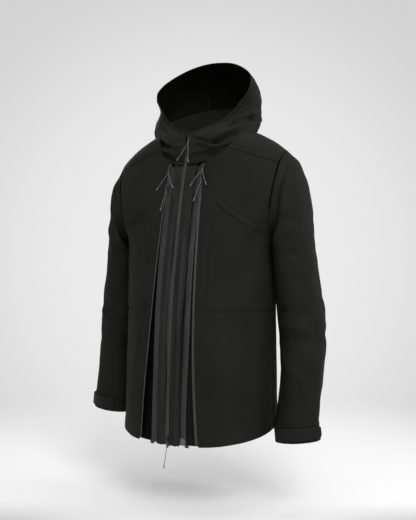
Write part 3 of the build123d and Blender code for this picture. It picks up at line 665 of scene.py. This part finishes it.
for name, z_low, z_high in (("back", -745, -140), ("back_yoke", -140, -40)):
    put(shell_cloth(name, back_grid(z_low, z_high, name == "back"), 1.5), "shell", "shell_fabric",
        "back_panel" if name == "back" else name)


def arm_cross(a):
    """Height at which the torso's column at angle a meets the armhole plane."""
    lo, hi = np.full(a.shape, -90.0), np.full(a.shape, -38.0)
    for _ in range(24):
        mid = (lo + hi) / 2
        out = np.abs(torso(mid, a)[..., 0]) > armhole_x(mid)
        lo, hi = np.where(out, mid, lo), np.where(out, hi, mid)
    return hi


def yoke_low(a):
    low = np.full(np.shape(a), -44.0)
    for _ in range(12):
        low = 0.5 * low + 0.5 * yoke_z(torso(low, a)[..., 0])
    low = np.where(np.where(a > 90, 180 - a, a) < 0, low, -44.0)
    return np.maximum(low, arm_cross(a))


def yoke_grid():
    scan = np.linspace(-80, -10, 281)
    first = scan[np.argmax(neck_top(scan) - yoke_low(scan) > 1.0)]
    last = (180 - scan)[np.argmax(neck_top(180 - scan) - yoke_low(180 - scan) > 1.0)]
    angles = np.concatenate([np.linspace(first, -12, 56), np.linspace(-11, 11, 24), np.linspace(12, 168, 90),
                             np.linspace(169, 191, 24), np.linspace(192, last, 56)])
    A, V = grid(angles, spaced(110, 3.6))
    low, top = yoke_low(angles)[:, None], neck_top(angles)[:, None]
    p = torso(low + V * (top - low), A)
    dv = runs(p)[1]
    dt = dv[:, -1:] - dv
    front = smooth(-np.where(A > 90, 180 - A, A) / 12)
    h = body_relief(p) * smooth(dv / 30) * smooth(dt / 20)
    h += (seam(dv) + stitch(dv, 6)) * front + seam(dt, 1.0, 0.8) + stitch(dt, 7, 0.5)
    return p + normals(p) * h[..., None]


put(shell_cloth("yoke", yoke_grid(), 1.5), "shell", "shell_fabric", "shoulder_yoke")

# ---------------- hood
HOOD_ROWS, BRIM, RIM = np.arange(6.0), 4.62, 5.0  # places of the rows below, the brim's seam and the rim
FRONT_X, BACK_X = 3.0, 58.0  # half widths of the front gap and of the centre panel
HOOD = np.array([  # front y and z, back y and z, half width, lift at the sides
    *((front_y(z), z, *rest) for z, *rest in (
        (-60, 98, 18, 112, 0), (-38, 110, 46, 136, 18), (-15, 148, 92, 150, 4), (0, 172, 150, 149, 0),
        (9, 148, 200, 147, 0))), (*CHIN, 83, 230, 143, 0)])
# the rim's egg shape, by the cosine of the hood angle: factor of the width, and shift in y
EGG_C = np.array([-1, -0.85, -0.7, -0.484, -0.26, 0, 0.22, 0.446, 0.67, 0.81, 1.0])
EGG_X = np.array([1.02, 1.04, 1.05, 1.075, 1.05, 0.985, 0.88, 0.825, 0.755, 0.64, 0.6])
EGG_Y = np.array([0, -2, -4, -6, -7, 2, 12, 21, 24, 18, 0.0])


def hood(pl, phi):
    """Points of the hood at places pl (0 neck seam, 5 rim) and angles phi."""
    pl, phi = np.broadcast_arrays(pl, phi)
    f = hermite(np.clip(pl, 0, 5), HOOD_ROWS, HOOD)
    c, s = wave_of(phi)
    egg = smooth((pl - 3.1) / 1.9)
    x = f[..., 4] * s * (1 + (np.interp(c, EGG_C, EGG_X) - 1) * egg)
    y = (f[..., 0] + f[..., 2]) / 2 - (f[..., 2] - f[..., 0]) * c * 0.5 + np.interp(c, EGG_C, EGG_Y) * egg
    z = (f[..., 1] + f[..., 3]) / 2 - (f[..., 3] - f[..., 1]) * c * 0.5 + f[..., 5] * s ** 2
    # it leans to the right and bulges low on the left and high on the right
    x = x - 8 * smooth((pl - 1.6) / 1.6) + 15 * hump(pl - 1.15, 0.62) * np.clip(s, 0, 1) ** 2
    x = x - 9 * hump(pl - 3.0, 0.8) * np.clip(-s, 0, 1) ** 2
    w = smooth(pl / 0.85)[..., None]
    return neck_seam(phi) * (1 - w) + np.stack([x, y, z], -1) * w


HOOD_FOLDS = [
    # sags over the shoulders, collar folds, and soft folds of the crown and back
    (60, -62, -8, 140, 20, 40, 11, 6.0), (50, -66, -26, 125, -20, 22, 8, -6.0),
    (70, -50, 22, 142, 30, 78, 10, 4.5), (90, -30, 30, 148, 40, 60, 7, -5.5), (110, 10, 84, 146, 70, 96, 9, -3.0),
    (20, -66, -8, 80, -58, -30, 8, 4.0), (14, -62, 2, 60, -60, -12, 6, -4.0), (22, -68, 20, 84, -64, 44, 6, 4.0),
    (34, -66, 10, 96, -56, 34, 6, -4.5), (84, -56, 52, 138, -6, 74, 7, 4.0), (100, -44, 66, 140, 4, 92, 7, -3.5),
    (-60, -62, -10, -138, 10, 36, 11, 6.0), (-46, -66, -30, -104, -40, 8, 8, -2.2),
    (-26, -68, 0, -78, -60, 34, 6, 4.5), (-34, -68, 14, -96, -52, 50, 6, -4.5),
    (-58, -66, -8, -112, -42, 40, 7, 3.6), (-84, -60, 4, -96, -50, 30, 6, -3.0),
    (-70, -48, 20, -142, 24, 84, 10, 4.5), (-84, -36, 26, -146, 40, 56, 8, -5.0),
    (-20, -66, -14, -74, -58, -36, 8, 3.5), (-120, 20, 96, -140, 90, 120, 12, -3.0),
    (60, 160, 90, -60, 160, 96, 14, -5.0), (90, 140, 60, -80, 140, 64, 12, 4.5),
    *both(110, 90, 40, 30, 118, 44, 10, -4.0), *both(60, 150, 200, 50, 178, 120, 16, 3.0),
    (130, 60, 150, 100, 130, 110, 16, 3.5), (-130, 60, 150, -100, 130, 110, 16, 3.0),
]


def hood_relief(p, pl):
    x = p[..., 0]
    h = 2.8 * ripples(p, 46, 5, (1, 1, 1.2)) + (1.6 + 1.2 * smooth((2.6 - pl) / 0.8)) * ripples(p, 21, 6)
    for *ends, width, height in HOOD_FOLDS:
        h = h + (2.0 + 1.3 * smooth((2.4 - pl) / 0.8)) * fold(p, (*ends, 0.8 * width, height))
    # the collar sags over the neck seam, less at the front's middle and low on the right
    sag = -9.0 * hump(pl - 0.50 - 0.10 * np.sin(x / 21), 0.20) + 6.5 * hump(pl - 0.98, 0.32)
    sag = sag * (1 - 0.75 * hump(x, 30) * (p[..., 1] < 40)) * (1 + 0.35 * ripples(p, 30, 9))
    h = h + sag * np.where(x < 0, 1 - 0.6 * smooth((-x - 40) / 40) * (pl < 0.75), 1)
    return h * smooth(pl / 0.35) * (1 - 0.75 * smooth((pl - 3.9) / 0.7))


def x_angle(x, pl):
    """Hood angle at side distance x, at the front or, beyond the front gap, at the back."""
    w = hermite(pl, HOOD_ROWS, HOOD)[..., 4]
    a = np.degrees(np.arcsin(np.clip(np.abs(x) / w, 0, 1)))
    a = a if abs(x) == FRONT_X else 180 - a
    return a if x > 0 else 360 - a


def hood_grid(p0, p1, width, x0, x1, seams):
    """A hood panel between two places and two side distances, with seams on the edges that are flagged."""
    U, V = grid(spaced(width, 4.2), spaced(330, 4.2) if p0 == 0 else spaced(34, 2.5))
    pl = p0 + V * (p1 - p0)
    a0, a1 = x_angle(x0, pl), x_angle(x1, pl)
    p = hood(pl, a0 + U * (a1 - a0))
    du, dv = runs(p)
    h = hood_relief(p, pl)
    for flag, d in zip(seams, (du, du[-1] - du, dv, dv[:, -1:] - dv)):
        if flag:
            h = h + seam(d, 1.2, 0.7) + stitch(d, 6.5)
    if p0 == 0:  # a rolled binding stands along the neck seam
        h = h + 1.9 * hump(dv - 3.2, 1.7) - 0.9 * hump(dv - 7.5, 1.4)
    return p + normals(p) * h[..., None]


for name, p0, p1, width, x0, x1, seams, thick in (
        ("hood_left", 0, BRIM, 300, FRONT_X, BACK_X, (0, 1, 1, 1), 1.6),
        ("hood_right", 0, BRIM, 300, -BACK_X, -FRONT_X, (1, 0, 1, 1), 1.6),
        ("hood_centre", 0, BRIM, 130, BACK_X, -BACK_X, (1, 1, 1, 1), 1.6),
        ("hood_brim", BRIM, RIM, 700, FRONT_X, -FRONT_X, (0, 0, 1, 0), 2.6)):
    put(shell_cloth(name, hood_grid(p0, p1, width, x0, x1, seams), thick), "shell", "shell_fabric", name)

# ---------------- sleeves
# outer and inner x, z of the left arm's cross-sections, then the y of their middle and the half depth
SLEEVE = [
    ((242, -44), (214, -252), 15, 70), ((265, -62), (216, -262), 16, 74), ((279, -96), (214, -274), 18, 76),
    ((290, -150), (210, -290), 20, 76), ((299, -235), (208, -312), 24, 72), ((308, -320), (207, -350), 29, 68),
    ((320, -395), (208, -407), 34, 65), ((331, -480), (212, -480), 38, 62), ((333, -540), (221, -542), 30, 59),
    ((331, -598), (227, -602), 20, 55), ((330, -655), (224, -662), 8, 50), ((330, -708), (219, -720), -7, 46),
]


def sleeve_frames(lift):
    """Middle, half width, half depth and tilt of each section; lift is how much higher the hand is."""
    out = []
    for k, ((xo, zo), (xi, zi), y, depth) in enumerate(SLEEVE):
        xo += np.interp(k, [0, 1, 3, 5, 7, 9, 11], [0, -5, -11, -2, 6, 3, 0] if lift else [0, 1, 4, 3, 0, 0, 0])
        x, z = (xo + xi) / 2, (zo + zi) / 2
        z += lift * max(0.0, (-150 - z) / (-150 + 708))
        out.append((x, y, z, math.hypot(xo - xi, zo - zi) / 2, depth, math.atan2(zi - zo, xo - xi)))
    return np.array(out)


def arm_seam(phi):
    """The armhole seam on the torso at a sleeve angle: 0 is the top, 180 the underarm."""
    c, s = wave_of(phi)
    z = (LOW_Z + TOP_Z) / 2 + (TOP_Z - LOW_Z) / 2 * c
    half, back, mid, front = torso_row(z)
    x = np.minimum(armhole_x(z), half)
    reach = np.clip(1 - (x / half) ** SQUARE, 0, 1) ** (1 / SQUARE)
    return np.stack([x, mid + np.sign(s) * reach * np.where(s < 0, front, back), z], -1)


def section(f, phi, grow=0.0):
    """Points round a sleeve section with the frame f at angles phi."""
    c, s = wave_of(phi)
    px, py = (f[..., 3] + grow) * c, (f[..., 4] + grow) * s
    return np.stack([f[..., 0] + px * np.cos(f[..., 5]), f[..., 1] + py, f[..., 2] - px * np.sin(f[..., 5])], -1)


SLEEVE_FOLDS = [
    (214, -30, -262, 262, -58, -190, 13, -6.0), (222, -46, -280, 292, -40, -215, 14, 4.5),
    (218, -30, -312, 300, -38, -285, 12, -3.5), (222, 60, -270, 286, 92, -210, 14, -5.0),
    (220, 60, -330, 300, 86, -300, 14, 3.5), (220, -20, -452, 318, -14, -430, 12, -5.0),
    (218, -10, -486, 326, -16, -470, 12, 5.5), (222, -14, -520, 326, -18, -506, 11, -4.5),
    (222, -20, -555, 300, -36, -600, 12, 3.5), (326, 40, -420, 300, 96, -470, 14, 4.0),
    (330, 40, -500, 296, 92, -520, 13, -4.0), (226, 20, -640, 300, -40, -680, 11, 3.0),
    (300, -42, -560, 290, -48, -690, 12, -2.6), (320, 0, -300, 330, 10, -440, 18, 2.6),
    (250, -66, -120, 262, -60, -230, 14, 3.0), (262, 90, -120, 268, 84, -240, 16, 3.0),
    (330, 10, -560, 326, -10, -700, 16, 2.4), (240, 60, -600, 232, 30, -700, 14, -3.0),
]


def sleeve_grid(frames, lift, seed, valley):
    """Points of the left sleeve and their relief; valley is how deep it is drawn in below the armhole."""
    U, V = grid(np.linspace(-180, 180, 113)[:-1], spaced(700, 4.4) * (len(frames) - 1))
    w = smooth(V / 1.15)[..., None]
    f = hermite(V, np.arange(float(len(frames))), frames)
    p = arm_seam(U) * (1 - w) + section(f, U) * w
    q = p.copy()
    q[..., 2] -= lift * np.clip((-150 - q[..., 2]) / 564, 0, 1.1)
    h = 2.6 * ripples(q, 52, seed, (1, 1, 0.8)) + 1.4 * ripples(q, 24, seed + 1, (1, 1, 0.8))
    for row in SLEEVE_FOLDS:
        h = h + fold(q, row, 7.0 * (seed % 3))
    dv = runs(p)[1]
    de = dv[:, -1:] - dv
    h = h * smooth(dv / 34) * (0.2 + 0.8 * smooth(de / 40))
    h -= valley * hump(dv - 27, 20) * smooth((-np.sin(np.radians(U)) + 0.25) / 0.9)
    h += seam(dv, 1.4, 1.0) + stitch(dv, 7) + seam(de, 1.2, 0.5)
    # the two-piece sleeve's seams run down the back of the arm
    for at in (62.0, 158.0):
        d = np.abs((U - at + 180) % 360 - 180) / 360 * 2 * math.pi * 62
        h += -0.9 * hump(d, 1.9) * smooth(dv / 8)
    return p, h


def tube(name, p, h, side, thick):
    """A closed tube of cloth raised outward by h, mirrored for the right arm."""
    n = normals(p, True)
    sign = np.sign(((p - p.mean(0, keepdims=True)) * n).sum(-1).mean())
    p = mirrored(p + n * (sign * h)[..., None], side)
    return shell_cloth(name, p, thick, closed=True, flip=(sign * side) < 0)


TAB_L, TAB_W = 110, 30  # the moulded tab's length round the cuff, and its width
for side, name, lift, seed, valley in ((1, "left", 0.0, 11, 13.0), (-1, "right", 28.0, 15, 8.5)):
    frames = sleeve_frames(lift)
    o = tube(f"sleeve_{name}", *sleeve_grid(frames, lift, seed, valley), side, 1.5)
    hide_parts(f"sleeve_{name}_upper", f"sleeve_{name}_lower")
    x, up = 0.274 * side, lift * 0.0006
    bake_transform(o)

    # cuff: a stiffer faced band, a little wider than the sleeve
    last = frames[-1]
    down = np.array([-math.sin(last[5]), 0, -math.cos(last[5])])

    def wrist(phi, drop, grow):
        return section(last, phi, grow) + np.asarray(drop)[..., None] * down
    U, V = grid(np.linspace(-180, 180, 121)[:-1], spaced(43, 3.0, extra=(36,)) * 43 - 1.0)
    p = wrist(U, V, 1.6)
    h = 0.8 * ripples(p, 22, seed + 3) * smooth(V / 8) + seam(V + 1, 1.2, 0.6)
    h += stitch(V, 36, 0.5) + stitch(V, 6, 0.4)
    put(tube(f"cuff_{name}", p, h, side, 2.4), f"forearm_{name}", "shell_fabric", f"cuff_{name}")

    # loop patch and the moulded tab that lies on it
    U, V = grid(-80 + spaced(60, 3.0) * 72, 8 + spaced(26, 3.0) * 26)
    p = mirrored(wrist(U, V, 3.4), side)
    put(shell_mesh(f"loop_patch_{name}", p, 1.2, "pile", flip=side < 0), f"forearm_{name}", "hook_loop",
        f"cuff_loop_patch_{name}")
    U, V = grid(spaced(TAB_L, 2.6), spaced(TAB_W, 2.0))
    rounded = np.sqrt(np.clip(1 - np.clip((U - 0.93) / 0.07, 0, 1) ** 2 * 0.55, 0, 1))
    drop = 6 + 15 + (V - 0.5) * TAB_W * (1 - 0.20 * U ** 2) * rounded
    p = wrist(-118 + U * 116, drop, 0)
    radial = p - (last[:3] + drop[..., None] * down)
    radial /= np.linalg.norm(radial, axis=-1, keepdims=True)
    d_edge = np.minimum(np.minimum(V, 1 - V) * TAB_W, np.minimum(U, 1 - U) * TAB_L)
    grip = smooth((U - 0.62) / 0.02) * smooth((0.92 - U) / 0.02) * smooth((d_edge - 5) / 2)
    relief = 0.5 * hump(d_edge - 1.5, 1.0) - 0.3 * hump(d_edge - 4, 0.9)
    relief = relief + 0.35 * grip * np.sin(U * TAB_L * 2 * math.pi / 3.4)
    p = p + radial * (4.6 + 2.2 * smooth((U - 0.78) / 0.22) + relief)[..., None]
    put(shell_mesh(f"tab_{name}_moulded", mirrored(p, side), 1.7, "cuff_tab", flip=side < 0), f"tab_{name}",
        "cuff_tab", f"cuff_tab_{name}")


# ---------------- front insert
seam_line = neck_seam(np.linspace(-60, 60, 121))
SIDES = ((1, "left"), (-1, "right"))


def neck_z(x):
    """Height of the neck seam at side distance x."""
    return np.interp(x, seam_line[:, 0], seam_line[:, 2])


def insert_grid(side):
    U, V = grid(spaced(34, 1.6), spaced(708, 4.0, extra=(24,)))
    x0 = 3.4 + 3.8 * smooth((-170 - (HEM_Z + V * 706)) / 120) + 4.0 * smooth((HEM_Z + V * 720 + 80) / 16)
    x = x0 + U * (32.0 - x0)
    top = neck_z(side * x) + 7
    z = HEM_Z + V * (top - HEM_Z)
    cloud = ripples(np.stack([x * side, x * 0, z], -1), 60, 20 + side, (1, 1, 0.4))
    low = smooth((-120 - z) / 200)
    n = -SAG * (x / HALF) ** 2 + (1.6 * np.sin(z / 61 + side) * np.sin(x / 9) + 1.2 * cloud) * 0.8
    n += 3.6 * hump(x - 20 - 2 * np.sin(z / 130), 4.5) * low - 1.6 * hump(x - 12, 3.0) * low
    n -= 1.2 * np.exp(-(x - 5) / 2.5)
    n += stitch(x, 9, 0.5) + stitch(x, 27, 0.6) + 0.5 * smooth((x - 28) / 1.5)
    dz = z - HEM_Z
    n += stitch(dz, 24, 0.7) + 0.4 * smooth((25 - dz) / 3) - 5.0 * smooth((z - top + 15) / 10)
    return arc_point(side * x, n, z)


def flap_grid(side):
    """Facing behind an outer zip, seen between the insert and the front panel."""
    U, V = grid(spaced(58, 3.0), spaced(608, 5.0, extra=(24,)))
    x = 36 + U * (56 if side > 0 else 80)
    z = -767 + V * 607
    n = -SAG * (x / HALF) ** 2 - 9.5 + 1.2 * np.sin(z / 40 + x / 11) * U + stitch(z + 767, 24, 0.6)
    return arc_point(side * x, n, z)


# the right flap's outside takes the dark lining colour instead of the facing's: painted shade in the right-hand
# gap
for side, name in SIDES:
    put(shell_mesh(f"side_flap_{name}", flap_grid(side), 1.2, "facing" if side > 0 else "lining", "lining",
                   flip=side < 0), "shell", "insert_fabric", *(["insert_side_flaps"] if side > 0 else []))
for side, name in SIDES:
    put(shell_mesh(f"insert_{name}_cloth", insert_grid(side), 1.4, "insert", "lining", flip=side < 0), "shell",
        "insert_fabric", f"insert_{name}")


# ---------------- zip tapes and coils
def coil(name, path, across, out, width, tall=1.5):
    """Moulded teeth along a path: each a small rounded block with a head."""
    pitch = 2.1
    s = np.concatenate([[0], np.cumsum(np.linalg.norm(np.diff(path, axis=0), axis=1))])
    at = np.arange(1.0, s[-1] - 1.0, pitch)
    c, x, n = (np.stack([np.interp(at, s, a[:, i]) for i in range(3)], 1) for a in (path, across, out))
    d = np.cross(x, n)
    w, t, h = width / 2, tall / 2, pitch * 0.34
    half = [(-w, -t * 0.7), (-w * 0.3, -t), (w * 0.55, -t), (w, -t * 0.55)]
    profile = half + [(a, -b) for a, b in half[::-1]]
    m = len(profile)
    verts, faces = [], []
    for k in range(len(at)):
        base = len(verts)
        for e in (-1, 1):
            verts += [c[k] + x[k] * a + n[k] * b + d[k] * (e * h) for a, b in profile]
        for i in range(m):
            j = (i + 1) % m
            faces.append((base + i, base + j, base + m + j, base + m + i))
        faces += [tuple(range(base + m - 1, base - 1, -1)), tuple(range(base + m, base + 2 * m))]
    put(mesh_object(name, verts, faces, "coil"), "shell", "zip_tape")


def strip_on_arc(name, x0, x1, n_of, inset, look, nodes, top=None, bend=None):
    """A zip tape from x0 to x1 that runs up the arc to the height top, or is tucked in at the neck seam."""
    U, V = grid(spaced(abs(x1 - x0), 2.0, fine=(0, 0.8, 1.8)), spaced(700, 4.0))
    x = x0 + U * (x1 - x0)
    tuck, z1 = (0, top) if top else (6.0, neck_z(x) + 4)
    z = ZIP_Z + V * (z1 - ZIP_Z)
    if bend:
        x = x + bend(z)
    p = arc_point(x, n_of(U, x, z) - tuck * smooth((z - z1 + 16) / 10), z, inset)
    put(shell_mesh(name, p, 0.8, look, flip=x1 < x0), "shell", "zip_tape", *nodes)


def zip_line(top, count=200):
    """Heights along a zip and the way outward there."""
    zs = np.linspace(ZIP_Z, top, count)
    return zs, arc_point(0, 1, zs) - arc_point(0, 0, zs)


ZIP_Z, CENTRE_TOP = -766.0, 14  # the tapes' lowest height, and the centre tape's highest
for side, name in SIDES:
    def lift(U, x, z):
        strip = hump(z + 430, 110) * (1 if side < 0 else 0.15)
        under = 9.0 * smooth((z - neck_z(0) + 5) / 6) * smooth((np.abs(x) - 3.6) / 2.0)
        return -1.9 + 1.4 * strip * smooth(U * 1.2) + 0.5 * np.sin(z / 47 + side) - under
    strip_on_arc(f"centre_tape_{name}", side * 0.3, side * 9.0, lift, 0, "insert" if side > 0 else "tape",
                 (f"centre_zip_{name}_tape",), top=CENTRE_TOP)
    zs, out = zip_line(12)
    coil(f"centre_coil_{name}", arc_point(side * 1.9, -1.6, zs), np.tile([-side * 1.0, 0, 0], (200, 1)), out, 3.2)

# insert side of the two outer zips: a wide shiny tape beside the coil
for side, name in SIDES:
    def wave(z):
        return 1.6 * np.sin(z / 83 + side) * smooth((-150 - z) / 150)

    def lie(U, x, z):
        base = -1.8 + 2.2 * np.sin(np.clip(U, 0, 1) * math.pi) ** 2 * smooth((-190 - z) / 150)
        return base - 0.5 + 0.5 * np.sin(z / 53 + 2 * side) * (1 - U) * smooth((-190 - z) / 100)
    strip_on_arc(f"insert_tape_{name}", side * 47.6, side * 30.0, lie, SAG, "tape",
                 ("insert_zip_tapes",) if side > 0 else (), bend=lambda z: side * wave(z))
    z_top = float(neck_z(side * 48.0)) + 1
    zs, out = zip_line(z_top)
    n = lie(np.zeros(200), None, zs) + 0.3 - 6 * smooth((zs - z_top + 7) / 8)
    coil(f"insert_coil_{name}", arc_point(side * (48.3 + wave(zs)), n, zs, SAG),
         np.tile([side * 1.0, 0, 0], (200, 1)), out, 3.4)
    U, V = grid(spaced(15, 2.0), spaced(14, 2.0))
    p = arc_point(side * (46 - U * 15), -0.2 + 1.0 * np.sin(U * math.pi), -764 + V * (15 if side > 0 else 12), SAG)
    # the two end films are alike; the left one in the pale film colour and the right one in the dark tape colour
    # paint a difference of light and shade between them
    look = "patch" if side > 0 else "tape"
    put(shell_mesh(f"end_film_{name}", p, 0.5, look, flip=side > 0), "shell", "zip_tape")

# panel side of the outer zips, which opens away from the insert below the lower slider's height
SHUT_X = 51.9
for side, name, edge, slider_z in ((1, "left", LEFT_EDGE, -101), (-1, "right", RIGHT_EDGE, -126)):
    z_top = float(neck_z(side * 52.0)) + 1
    zs = np.linspace(-764, z_top, 240)
    gap = smooth((slider_z - 4 - zs) / 60)
    ex = edge_x(edge, zs)
    x = SHUT_X + (ex - 4.6 - SHUT_X) * gap
    z_low = tilt_z(zs, torso(zs, angle_at(np.maximum(x, ex), zs))[:, 1])
    shut = arc_point(x, TAPE_N + 0.4 - 6 * smooth((zs - z_top + 7) / 8), zs, SAG)
    low = smooth((-430 - zs) / 340)
    free = torso(z_low, angle_at(x + 2.0, z_low), 0.4)
    free[:, 0] = x
    free[:, 1] -= 5.0 * low
    path = shut * (1 - gap)[:, None] + free * gap[:, None]
    along = np.gradient(path, axis=0)
    along /= np.linalg.norm(along, axis=1, keepdims=True)
    inner = torso(z_low, angle_at(ex + 9.0, z_low), -2.0)
    inner[:, 1] -= 4.4 * low
    across = path - inner
    across -= (across * along).sum(1, keepdims=True) * along
    across /= np.linalg.norm(across, axis=1, keepdims=True)
    out = np.cross(along, across)
    out *= np.sign(-out[:, 1:2])
    us = np.array([0, 0.05, 0.15, 0.35, 0.6, 0.85, 1.0])[:, None, None]
    P = path[None] * (1 - us) + inner[None] * us - out[None] * 0.9 * np.sin(us * math.pi)
    P, path, across, out = (mirrored(a, side) for a in (P, path, across, out))
    put(shell_mesh(f"panel_tape_{name}", P, 0.7, "tape", flip=side < 0), "shell", "zip_tape",
        *(["panel_zip_tapes"] if side > 0 else []))
    coil(f"panel_coil_{name}", path, across, out, 3.8, 1.8)

# ---------------- neck tape, hanger loop
U, V = grid(np.linspace(180 - 118, 180 + 118, 130), 0.30 + spaced(96, 3.0) * 2.12)
p = hood(V, U)
p = p + normals(p) * (hood_relief(p, V) - 5.0)[..., None]
dv = runs(p)[1]
dt = dv[:, -1:] - dv
roll = seam(dt, 0.6, 1.4) + stitch(dt, 9) + 1.2 * ripples(p, 40, 31)
p = p - normals(p) * roll[..., None]
put(shell_mesh("neck_facing_cloth", p, 1.0, "facing"), "shell", "lining", "neck_tape")
t = np.linspace(0, 1, 40)
place, turn = 0.84 - 0.22 * np.sin(t * math.pi), 180 - 17 + 34 * t
path = hood(place, turn)
way = normals(np.stack([path, hood(place + 0.05, turn)], 1))[:, 0]
path = path - way * (9.5 + 2 * np.sin(t * math.pi))[:, None]
w = np.linspace(-3.2, 3.2, 7)
P = path[:, None] + np.stack([w * 0, w * 0.35, w * 0.93], 1)[None]
put(shell_mesh("hanger_webbing", P, 1.2, "web"), "shell", "webbing", "hanger_loop")

# ---------------- CAD pieces that stay
for piece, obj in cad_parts.items():
    for ending, look in (("_slider", "slider"), ("_pull", "tab"), ("_tips", "tip"), ("zip_end_boxes", "plastic")):
        if piece.endswith(ending):
            obj.data.materials.clear()
            obj.data.materials.append(M[look])
